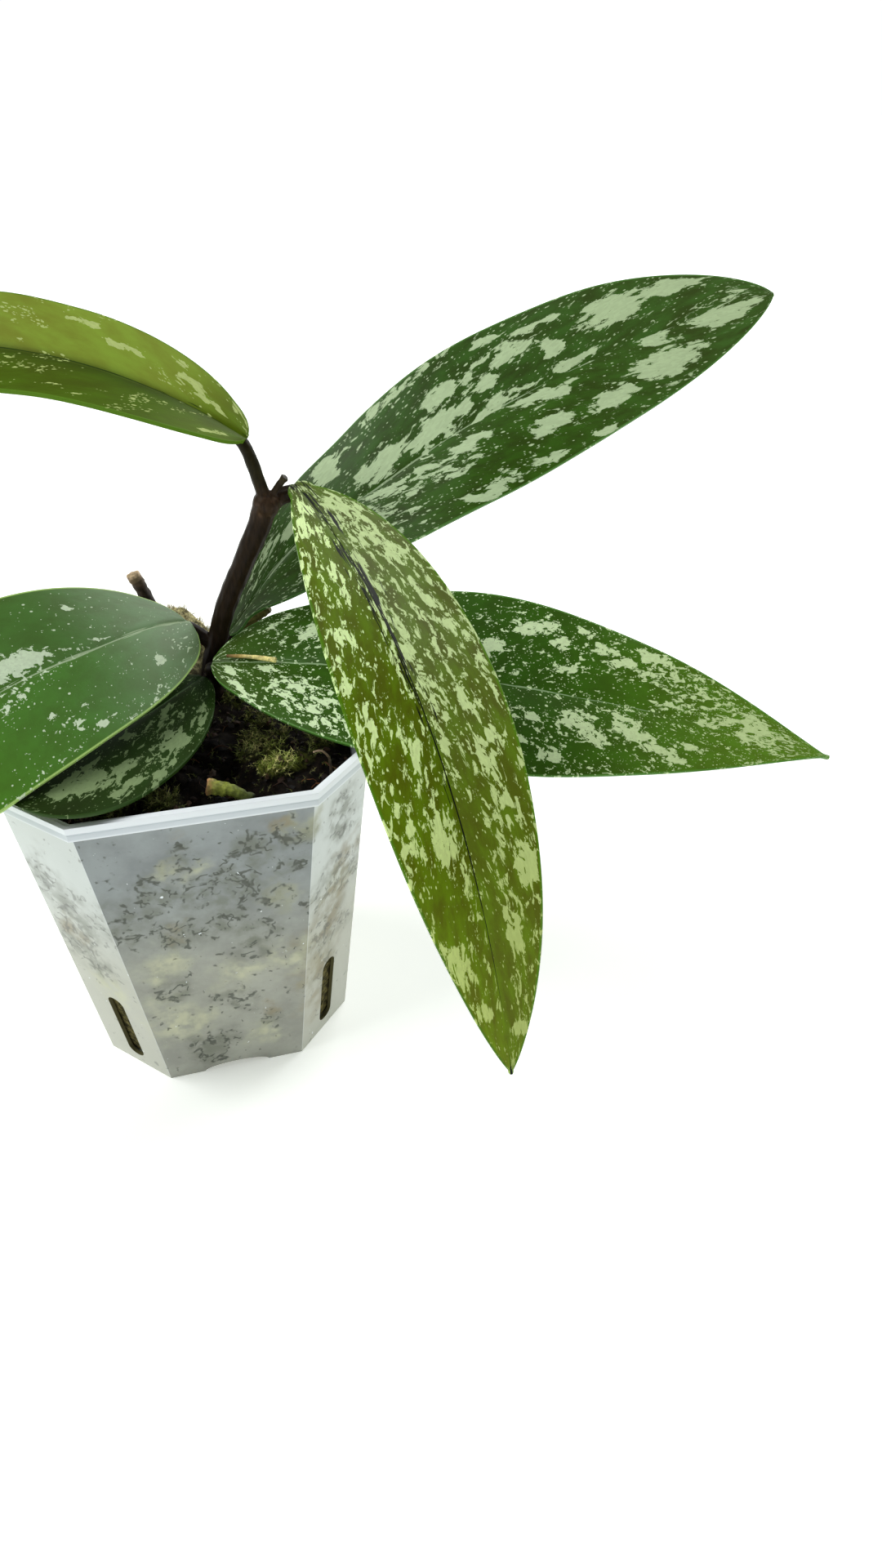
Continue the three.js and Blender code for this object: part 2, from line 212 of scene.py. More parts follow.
def rows_of(items: bpy.types.bpy_prop_collection, key: str) -> np.ndarray:
    """Reads a direction or a place that each point or face of a mesh has.

    Args:
        items: The mesh's points or faces.
        key: Which of their properties is read.

    Returns:
        Rows of x, y and z.
    """
    flat = np.empty(len(items) * 3)
    items.foreach_get(key, flat)
    return flat.reshape(-1, 3)


def coordinates(piece: Piece) -> np.ndarray:
    """Returns a mesh's points as rows of x, y and z."""
    return rows_of(piece.data.vertices, "co")


def move_points(piece: Piece, points: np.ndarray) -> None:
    """Puts a mesh's points at new places."""
    piece.data.vertices.foreach_set("co", points.ravel())
    piece.data.update()


def push_out(piece: Piece, heights: np.ndarray) -> np.ndarray:
    """Moves a mesh's points along their normals.

    Args:
        piece: The mesh's object.
        heights: How far each point goes, in millimetres.

    Returns:
        The new points in metres.
    """
    points = coordinates(piece)
    points += rows_of(piece.data.vertices, "normal") * (heights * MM)[:, None]
    move_points(piece, points)
    return points


def store(piece: Piece, name: str, values: np.ndarray, domain: str = "POINT") -> None:
    """Keeps values on a mesh as one of its attributes.

    Args:
        piece: The mesh's object.
        name: The attribute's name.
        values: A number, a direction or a colour for each point or face.
        domain: POINT or FACE.
    """
    width = 1 if values.ndim == 1 else values.shape[1]
    kind, key = {1: ("FLOAT", "value"), 3: ("FLOAT_VECTOR", "vector"), 4: ("FLOAT_COLOR", "color")}[width]
    attribute = piece.data.attributes.new(name, kind, domain)
    attribute.data.foreach_set(key, np.ascontiguousarray(values, np.float32).ravel())


def toward(tone: np.ndarray, color: str, share: np.ndarray) -> np.ndarray:
    """Returns rows of linear colours, each blended toward a hex colour by its own share."""
    return tone + (np.array(linear(color)) - tone) * share[:, None]


def finish_piece(
    piece: Piece, slot: str, material: bpy.types.Material | None, *nodes: str, angle: float = 60
) -> None:
    """Fastens a piece to the object, in place of the solids it stands for.

    Args:
        piece: The piece.
        slot: The slot it belongs to; not used.
        material: Its material, if it has none yet.
        *nodes: The solids it stands for.
        angle: Edges sharper than this many degrees stay sharp; 0 leaves every face flat.
    """
    if material:
        piece.data.materials.append(material)
    if angle:
        choose(piece)
        bpy.ops.object.shade_smooth_by_angle(angle=math.radians(angle))
    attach(piece, "root")
    if nodes:
        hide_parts(*nodes)
    stands_for = ", ".join(nodes) or "itself"
    log.info("%s: %d faces, stands for %s", piece.name, len(piece.data.polygons), stands_for)


def smoothstep(value: np.ndarray | float, low: float, high: float) -> np.ndarray:
    """Rises softly from 0 at low to 1 at high."""
    share = np.clip((np.asarray(value, float) - low) / (high - low), 0, 1)
    return share * share * (3 - 2 * share)


def rough_height(points: np.ndarray, size: float, seed: float) -> np.ndarray:
    """Returns a repeatable unevenness from -1 to 1 for each row of two or three numbers."""
    rows = np.column_stack([points, np.full(len(points), seed)])[:, :3] / size
    return np.array([noise.noise(Vector(row)) for row in rows])


def smooth_path(points: list[Point] | tuple[Point, ...], steps: int) -> np.ndarray:
    """Draws a smooth curve.

    Args:
        points: Points that it goes through.
        steps: How many points it gets from each one to the next.

    Returns:
        The curve's points.
    """
    given = np.array([points[0], *points, points[-1]], float)
    rows = []
    for a, b, c, d in zip(given, given[1:], given[2:], given[3:]):
        for share in np.linspace(0, 1, steps, endpoint=False):
            rows.append(0.5 * (
                2 * b + (c - a) * share + (2 * a - 5 * b + 4 * c - d) * share ** 2
                + (3 * b - a - 3 * c + d) * share ** 3
            ))
    return np.array([*rows, given[-1]])


def tube(name: str, path: np.ndarray, radii: np.ndarray, resolution: int = 3) -> Piece:
    """Makes a closed round tube along a path.

    Args:
        name: The piece's name.
        path: Points of its middle line, in millimetres.
        radii: The radius at each point, in millimetres.
        resolution: Bevel resolution of the round section.

    Returns:
        The tube as a mesh.
    """
    bpy.ops.curve.primitive_nurbs_path_add()
    curve = bpy.context.object
    curve.data.splines.clear()
    line = curve.data.splines.new("POLY")
    line.points.add(len(path) - 1)
    line.points.foreach_set("co", np.column_stack([path * MM, np.ones(len(path))]).ravel())
    line.points.foreach_set("radius", np.asarray(radii, float))
    curve.data.dimensions = "3D"
    curve.data.bevel_depth = MM
    curve.data.bevel_resolution = resolution
    curve.data.use_fill_caps = True
    choose(curve)
    bpy.ops.object.convert(target="MESH")
    piece = made(name)
    face_outwards(piece, partial(bpy.ops.mesh.remove_doubles, threshold=0.001 * MM))
    return piece


def joined(name: str, parts: list[Piece]) -> Piece:
    """Joins pieces.

    Args:
        name: The new piece's name.
        parts: The pieces.

    Returns:
        The one piece they become.
    """
    choose(parts[0])
    for part in parts:
        part.select_set(True)
    bpy.ops.object.join()
    return made(name)


def copies(name: str, model: Piece, places: list[Matrix], tones: list[Color], root: float) -> Piece:
    """Makes one piece of many copies of a small model.

    Args:
        name: The new piece's name.
        model: The small piece that is repeated; it is removed.
        places: Where each copy goes, in metres.
        tones: A colour for each copy.
        root: How bright a copy's lowest points are, as a share of its top's colour: painted shade at each
            copy's foot.

    Returns:
        The piece with all copies.
    """
    height = coordinates(model)[:, 2]
    # Painted shade: each copy darkens towards its foot.
    light = root + (1 - root) * smoothstep(height, height.min(), height.max())
    points = np.column_stack([coordinates(model), np.ones(len(height))])
    faces = [tuple(face.vertices) for face in model.data.polygons]
    rows, loops = [], []
    for k, place in enumerate(places):
        rows.append((points @ np.array(place).T)[:, :3])
        loops += [tuple(v + k * len(points) for v in face) for face in faces]
    mesh = bpy.data.meshes.new(name)
    mesh.from_pydata(np.concatenate(rows).tolist(), [], loops)
    mesh.update()
    piece = bpy.data.objects.new(name, mesh)
    bpy.context.scene.collection.objects.link(piece)
    bpy.data.objects.remove(model)
    store(piece, "tone", (np.array(tones)[:, None, :] * light[None, :, None]).reshape(-1, 4))
    return piece


@dataclass(frozen=True)
class Toned:
    """A matt natural material that takes its colour from the piece's own tones, with small variation."""

    name: str
    roughness: float
    specular: float
    # The size of its grain in mm, how fine and ragged that is, and how it is drawn out along Z.
    grain: float
    detail: float = 4.0
    ragged: float = 0.6
    drawn_out: float = 1.0
    # The noise from dark to light, and how much it darkens and lightens.
    shades: tuple[float, float, float, float] = (0.3, 0.7, 0.6, 1.4)
    # How strong and how deep its bumps are, in mm.
    bumps: tuple[float, float] = (0.4, 0.3)
    # Another colour below a height, and the height in mm where it starts and is full.
    low: tuple[str, float, float] | None = None

    def build(self) -> bpy.types.Material:
        """Builds the material.

        Returns:
            The material: grain that darkens and lightens the tones, and stands out a little.
        """
        material, add, shader = new_material(self.name, self.roughness, self.specular)
        spot = add("TexCoord", output="Object")
        tone = add("Attribute", output="Color", attribute_name="tone")
        if self.low:
            color, start, full = self.low
            height = add("SeparateXYZ", spot, output=2)
            share = add("MapRange", height, start * MM, full * MM, **SOFT)
            tone = add("Mix", share, tone, linear(color), **MIXED)
        if self.drawn_out != 1:
            spot = add("Mapping", spot, (1.0, 1.0, 1 / self.drawn_out), at=("Vector", "Scale"))
        grain = add("TexNoise", spot, 1 / (self.grain * MM), self.detail, self.ragged, **GRAIN)
        shade = add("MapRange", grain, *self.shades, **SOFT)
        strength, depth = self.bumps
        connect(shader, {
            "Base Color": add("Mix", 1.0, tone, shade, **TIMES),
            "Normal": add("Bump", strength, depth * MM, grain, **BUMP),
        })
        return material


class RibLook(Enum):
    """How a leaf's midrib shows on its upper face, and how unbroken its line is."""

    DARK_STREAKS = 0.4
    SHADED = 0.22
    PALE_LINE = 0.14


@dataclass(frozen=True)
class BladeShape:
    """One blade's measures, as its solid has them, in millimetres and degrees."""

    base: Point
    heading: float
    sweep: float
    rise: float
    droop: float
    lift: float
    roll: float
    twist: float
    length: float
    width: float
    base_shape: float
    tip_shape: float
    fold: float
    cup: float
    waves: int
    wave_height: float
    base_round: float = 3.0
    # How far the midrib bends aside, and the share of the length where it is straight again.
    bow: float = 0.0
    bow_end: float = 0.34
    # Where one half is wider or narrower: its side, the share of it, the place along and the reach.
    uneven: tuple[tuple[float, float, float, float], ...] = ()
    # How far the midrib lies from the outline's middle at the base, and the share where it is back.
    rib_off: float = 0.0
    rib_back: float = 0.24
    rib_half: float = 0.62
    edge_half: float = 0.36
    least_base: float = 1.2
    least_tip: float = 0.35

    def half_width(self, share: np.ndarray) -> np.ndarray:
        """Works out the outline, a long oval that starts from a small disc.

        Args:
            share: Shares of the blade's length.

        Returns:
            Half the blade's width at each share.
        """
        peak = self.base_shape / (self.base_shape + self.tip_shape)
        inner = np.clip(share, 0, 1)
        swell = (inner / peak) ** self.base_shape * ((1 - inner) / (1 - peak)) ** self.tip_shape
        least = self.least_base + (self.least_tip - self.least_base) * share
        disc = np.sqrt(np.clip(1 - (1 - inner * self.length / self.base_round) ** 2, 0, 1)) * self.base_round
        blade = ((self.width / 2 * swell) ** 3 + disc ** 3) ** (1 / 3)
        return np.maximum(blade, least)

    def rib_shift(self, share: np.ndarray) -> np.ndarray:
        """Returns how far the midrib lies from the middle of the outline near the base."""
        return self.rib_off * (1 - smoothstep(share, 0.0, self.rib_back))

    def spine(self, share: np.ndarray) -> tuple[np.ndarray, np.ndarray, np.ndarray]:
        """Follows the midrib.

        Args:
            share: Rising shares of the blade's length, from 0 to 1.

        Returns:
            The midrib's points, and the directions to the blade's side and up from it.
        """
        heading = np.radians(self.heading + self.sweep * share)
        rise = np.radians(self.rise + self.droop * share + self.lift * share ** 2)
        roll = np.radians(self.roll + self.twist * share)[:, None]
        along = np.stack([np.cos(rise) * np.cos(heading), np.cos(rise) * np.sin(heading), np.sin(rise)], 1)
        up = np.stack([-np.sin(rise) * np.cos(heading), -np.sin(rise) * np.sin(heading), np.cos(rise)], 1)
        side = np.cross(along, up)
        steps = (along[1:] + along[:-1]) / 2 * np.diff(share)[:, None] * self.length
        place = np.array(self.base) + np.concatenate([np.zeros((1, 3)), np.cumsum(steps, 0)])
        aside = side * np.cos(roll) + up * np.sin(roll)
        bend = self.bow * np.sin(np.pi * np.clip(share / self.bow_end, 0, 1)) ** 2 + self.rib_shift(share)
        return place + bend[:, None] * aside, aside, up * np.cos(roll) - side * np.sin(roll)


@dataclass(frozen=True)
class LeafLook:
    """Colours and markings of one leaf."""

    name: str
    slot: str
    face: str
    other_half: str
    tip: str
    # The base's colour; on the left leaf it is a painted sheen, greyer and paler where the light shines on
    # it.
    base: str
    # The margin line's colour; on the left leaf it is partly painted light through the thin edge.
    margin: str
    rib: str
    silver: str
    silver_tip: str
    rib_look: RibLook
    gloss: float
    # How ready the plain skin is for silver: flecks cover half of it at 0.
    readiness: float
    # How many dots there are and how wide, and the size of the flecks' grain in mm.
    dots: float
    dot_size: float
    grain: float
    soft: float = 0.02
    stretch: float = 2.1
    slant: float = 20.0
    patch_slant: float = 6.0
    mottle: float = 0.16
    mottle_size: float = 4.0
    streak_reach: float = 0.8
    groove_shade: float = 0.0
    # The readiness in a patch, and how far towards it a swarm of dots goes.
    peak: float = 0.1
    swarming: float = 0.45
    crowding: float = 0.12
    ragged: float = 0.6
    # How much paler the tip and the silver are on the face half: painted light on the half that is turned
    # from the lights.
    face_painted_light: float = 1.0
    tip_from: float = 0.5
    base_reach: float = 0.17
    patches: tuple[Spot, ...] = ()
    swarms: tuple[Spot, ...] = ()
    bare: tuple[Spot, ...] = ()
    seed: float = 0.0

    def upper(self) -> bpy.types.Material:
        """Builds the waxy upper skin.

        Returns:
            The material. Air pockets under the skin show as silver flecks and dots with crisp edges.
        """
        matt, glossy = 0.5, 0.38
        material, add, shader = new_material(self.name, glossy, self.gloss)
        grain, rows = (add("Attribute", output="Vector", attribute_name=name) for name in ("grain", "rows"))
        tone, wax = (add("Attribute", output="Color", attribute_name=name) for name in ("tone", "wax"))
        silver, streak, margin = (
            add("Attribute", output="Fac", attribute_name=name) for name in ("silver", "streak", "margin")
        )
        # Flecks: islands of a warped noise, 1.6 grains wide, shown where the blade is ready for silver.
        islands = add("TexNoise", grain, 1 / (self.grain * 1.6 * MM), 5.0, self.ragged, 0.5, **GRAIN)
        level = add("Math", islands, silver, operation="ADD")
        mask = add("MapRange", level, 0.5 - self.soft, 0.5 + self.soft, **SOFT)
        # Dots about 0.5 and 0.25 mm wide, in swarms, more of them where the blade is readier.
        crowd = add("TexNoise", grain, 1 / (self.grain * 5 * MM), 2.0, **GRAIN)
        crowd = add("MapRange", crowd, 0.35, 0.65, self.crowding, -self.crowding)
        for width in (0.95, 0.45):
            cells = add("TexVoronoi", grain, 1 / (width * self.grain * MM), output="Distance", **GRAIN)
            chance = add("SeparateColor", cells.node.outputs["Color"])
            need = add("MapRange", silver, self.readiness, self.peak, 1 - self.dots, 0.5)
            need = add("Math", need, crowd, operation="ADD")
            radius = add("MapRange", chance, need, 1.0, -0.05, self.dot_size)
            inside = add("Math", radius, cells, operation="SUBTRACT")
            dot = add("MapRange", inside, -0.07, 0.07, **SOFT)
            mask = add("Math", mask, dot, operation="MAXIMUM")
        # The midrib, 0.3 mm wide, and thin streaks beside it that run along the leaf.
        side = add("Math", add("SeparateXYZ", rows, output=1), operation="ABSOLUTE")
        strands = add("TexNoise", rows, 1 / (0.36 * MM), 3.0, 0.55, **GRAIN)
        likely = add("MapRange", streak, 0, 1, -0.27, 0.0)
        line = add("MapRange", side, 0.3 * MM, 0.08 * MM, 0, self.rib_look.value, **SOFT)
        likely = add("Math", likely, line, operation="ADD")
        strands = add("Math", strands, likely, operation="ADD")
        rib = add("MapRange", strands, 0.475, 0.525, **SOFT)
        # Uneven green under the wax: its paler parts are greener, its darker parts browner.
        patchy = add("TexNoise", grain, 1 / (self.mottle_size * MM), 4.0, 0.62, **GRAIN)
        patchy = add("MapRange", patchy, 0.3, 0.7, **SOFT)
        browner, greener = (
            (1 + 0.5 * change, 1 + change, 1 + change, 1.0) for change in (-self.mottle, self.mottle)
        )
        tint = add("Mix", patchy, browner, greener, clamp_factor=True, **MIXED)
        skin = add("Mix", 1.0, tone, tint, **TIMES)
        # The margin's colour, a line 0.3 mm wide; on the left leaf it is partly its own pale colour and
        # partly painted light through the thin edge.
        margin = add("MapRange", margin, 0.42 * MM, 0.2 * MM, 0, 0.9, **SOFT)
        skin = add("Mix", margin, skin, linear(self.margin), **MIXED)
        skin = add("Mix", rib, skin, linear(self.rib), **MIXED)
        if self.rib_look is not RibLook.PALE_LINE:
            clear = add("Math", 1.0, rib, operation="SUBTRACT")
            mask = add("Math", mask, clear, operation="MULTIPLY")
        cloud = add("MapRange", chance, 0, 1, 0.93, 1.07)
        cloudy = add("Mix", 1.0, wax, cloud, **TIMES)
        connect(shader, {
            "Base Color": add("Mix", mask, skin, cloudy, **MIXED),
            "Roughness": add("MapRange", mask, 0, 1, glossy, matt),
            "Normal": add("Bump", 0.15, 0.2 * MM, patchy, **BUMP),
        })
        return material

    def under(self) -> bpy.types.Material:
        """Builds the underside.

        Returns:
            The material: paler than the upper skin and matt, with faint rows of veins 1.2 mm apart.
        """
        material, add, shader = new_material(self.name + "_underside", 0.55, 0.3)
        rows = add("Attribute", output="Vector", attribute_name="rows")
        tone = add("Attribute", output="Color", attribute_name="tone")
        veins = add("TexNoise", rows, 1 / (1.2 * MM), 2.0, **GRAIN)
        veins = add("MapRange", veins, 0.3, 0.7, 0.1, 0.3)
        connect(shader, {"Base Color": add("Mix", veins, tone, linear("#9fb06a"), **MIXED)})
        return material


@dataclass
class LeafBlade:
    """One thick, waxy leaf with its markings."""

    node: str
    shape: BladeShape
    look: LeafLook
    along: int = 150
    across: int = 36
    groove: float = 0.22
    groove_half: float = 0.55
    unevenness: float = 0.28
    dent_size: float = 13.0
    margin_round: float = 0.22
    # How far the streaks by the midrib are drawn out, and the step from one leaf's noise to the next.
    streak_long: float = 22.0
    noise_step: float = 37.0
    # How wide the shade by the midrib reaches in each half, in mm.
    shade_reach: tuple[float, float] = (3.4, 1.3)
    # The ragged outlines of patches: how far they stray along the leaf, and how often, along and across.
    stray: float = 1.6
    stray_sizes: tuple[float, float] = (4.5, 3.5)
    # How much readier a patch's middle is than its edge, how soon it is full, what a bare spot takes off,
    # and what stands for the other side of the midrib.
    patch_fall: float = 0.2
    patch_full: float = 1.3
    bare_depth: float = 0.3
    outside: float = -9.0

    def build(self) -> None:
        """Shapes a grid to the blade, thickens it and rounds its margin."""
        bpy.ops.mesh.primitive_grid_add(x_subdivisions=self.across, y_subdivisions=self.along, size=2)
        piece = made(self.node + "_blade")
        flat = coordinates(piece)
        # The points lie closer together near the margin, the base and the tip.
        column = flat[:, 0]
        across = np.sign(column) * (0.55 * np.abs(column) + 0.45 * smoothstep(np.abs(column), 0, 1))
        rows, row = np.unique(flat[:, 1].round(5), return_inverse=True)
        even = (rows + 1) / 2
        shares = even + 0.7 * ((1 - np.cos(np.pi * even)) / 2 - even)
        self.place(piece, shares, row, across)
        self.mark(piece, shares[row], across)
        weights = piece.vertex_groups.new(name="thickness")
        thin = self.shape.edge_half / self.shape.rib_half
        for k, edge in enumerate(np.abs(across)):
            weights.add([k], float(1 + (thin - 1) * edge), "REPLACE")
        piece.data.materials.append(self.look.upper())
        piece.data.materials.append(self.look.under())
        modify(
            piece, "SOLIDIFY", thickness=2 * self.shape.rib_half * MM, offset=0.0,
            vertex_group="thickness", material_offset=1,
        )
        piece.vertex_groups.clear()
        modify(
            piece, "BEVEL", width=self.margin_round * MM, segments=2, limit_method="ANGLE",
            angle_limit=math.radians(60),
        )
        finish_piece(piece, self.look.slot, None, self.node, angle=50)

    def place(self, piece: Piece, shares: np.ndarray, row: np.ndarray, across: np.ndarray) -> None:
        """Moves the grid's points to the blade's middle surface.

        Args:
            piece: The grid.
            shares: The share of the length of each row of points.
            row: The row of each point.
            across: Each point's share across, -1 to 1.
        """
        shape = self.shape
        midrib, side, up = shape.spine(shares)
        share = shares[row]
        half = shape.half_width(share)
        for on, change, at, reach in shape.uneven:
            half = half * (1 + change * np.exp(-((share - at) / reach) ** 2) * (on * across > 0))
        half = np.maximum(half - np.sign(across) * shape.rib_shift(share), 0.4)
        fold = math.radians(shape.fold)
        edge = np.sqrt(across ** 2 + 0.0016) - 0.04
        out = half * across * math.cos(fold)
        rise = half * (edge * math.sin(fold) - shape.cup * across ** 2)
        wave = np.sin(2 * np.pi * shape.waves * share + across) * np.abs(across) ** 3
        rise += shape.wave_height * wave * np.sin(np.pi * share)
        grid = np.column_stack([share * shape.length, across * half])
        calm = np.sin(np.pi * share) * smoothstep(np.abs(across) * half, 0, 5)
        rise += self.unevenness * rough_height(grid, self.dent_size, self.look.seed) * calm
        rise -= self.groove * np.exp(-(across * half / self.groove_half) ** 2) * (1 - share) ** 0.5
        points = midrib[row] + out[:, None] * side[row] + rise[:, None] * up[row]
        move_points(piece, points * MM)

    def mark(self, piece: Piece, share: np.ndarray, across: np.ndarray) -> None:
        """Keeps on the mesh where silver, streaks and colours go.

        Args:
            piece: The grid.
            share: Each point's share of the length.
            across: Each point's share across.
        """
        look = self.look
        half = self.shape.half_width(share)
        down, out = share * self.shape.length, across * half
        slant = math.radians(look.slant)
        # Half way between the true distance from the midrib and the share of the width, as the veins lie.
        veined = np.abs(across) * (0.5 * half + 0.25 * self.shape.width)
        run = down * math.cos(slant) + veined * math.sin(slant)
        rise = veined * math.cos(slant) - down * math.sin(slant)
        grain = np.stack([run / look.stretch, rise, 0.4 * out + self.noise_step * look.seed], 1)
        store(piece, "grain", grain * MM)
        rows = np.stack([down / self.streak_long, out, np.full(len(out), look.seed)], 1)
        store(piece, "rows", rows * MM)
        store(piece, "silver", self.readiness(down, out, across))
        reach = look.streak_reach * (1.15 - share)
        fade = 1 - smoothstep(share, 0.35, 0.95)
        store(piece, "streak", np.exp(-(out / reach) ** 2) * fade)
        store(piece, "margin", (1 - np.abs(across)) * half * MM)
        # On the face half the tip and the silver are painted paler: painted light.
        right = smoothstep(across, -0.08, 0.08)
        lift = 1 + (look.face_painted_light - 1) * right[:, None]
        tone = toward(np.array(linear(look.other_half)), look.face, right)
        outer = smoothstep(share, look.tip_from, look.tip_from + 0.5)[:, None]
        tone = tone + (np.array(linear(look.tip)) * lift - tone) * outer
        # Towards the base the tone turns to the base's colour, which on the left leaf is a painted sheen.
        tone = toward(tone, look.base, 1 - smoothstep(share, 0.0, look.base_reach))
        shade = np.exp(-(out / np.where(across < 0, *self.shade_reach)) ** 2)
        store(piece, "tone", tone * (1 - look.groove_shade * shade)[:, None])
        wax = toward(np.array(linear(look.silver)), look.silver_tip, smoothstep(share, 0.3, 0.9))
        store(piece, "wax", wax * lift)

    def readiness(self, down: np.ndarray, out: np.ndarray, across: np.ndarray) -> np.ndarray:
        """Says how ready each point is for silver.

        Args:
            down: Each point's distance along the leaf, in millimetres.
            out: Its distance from the midrib.
            across: Its share across.

        Returns:
            About 0 where flecks cover half the skin, more in a patch and less elsewhere.
        """
        look = self.look
        grid = np.column_stack([down, out])
        warp_down = down + self.stray * rough_height(grid, self.stray_sizes[0], look.seed + 20)
        warp_across = rough_height(grid, self.stray_sizes[1], look.seed + 40)
        slant = math.radians(look.patch_slant)
        ready = np.full(len(down), look.readiness)
        swarm = look.readiness + look.swarming * (look.peak - look.readiness)
        for spots, peak in ((look.swarms, swarm), (look.patches, look.peak), (look.bare, None)):
            for at, side, long, wide in spots:
                width = float(self.shape.half_width(np.array([at]))[0])
                far = warp_down - at * self.shape.length, (np.abs(across) - abs(side)) * width + warp_across
                u = far[0] * math.cos(slant) + far[1] * math.sin(slant)
                v = far[1] * math.cos(slant) - far[0] * math.sin(slant)
                inside = 1 - (u / long) ** 2 - (v / wide) ** 2
                inside = np.where((out * side >= 0) | (np.abs(out) < 0.4), inside, self.outside)
                if peak is None:
                    ready -= self.bare_depth * np.clip(inside, 0, 1)
                else:
                    edge = 1 - np.minimum(self.patch_full * inside, 1)
                    ready = np.maximum(ready, peak - edge * self.patch_fall)
        return ready


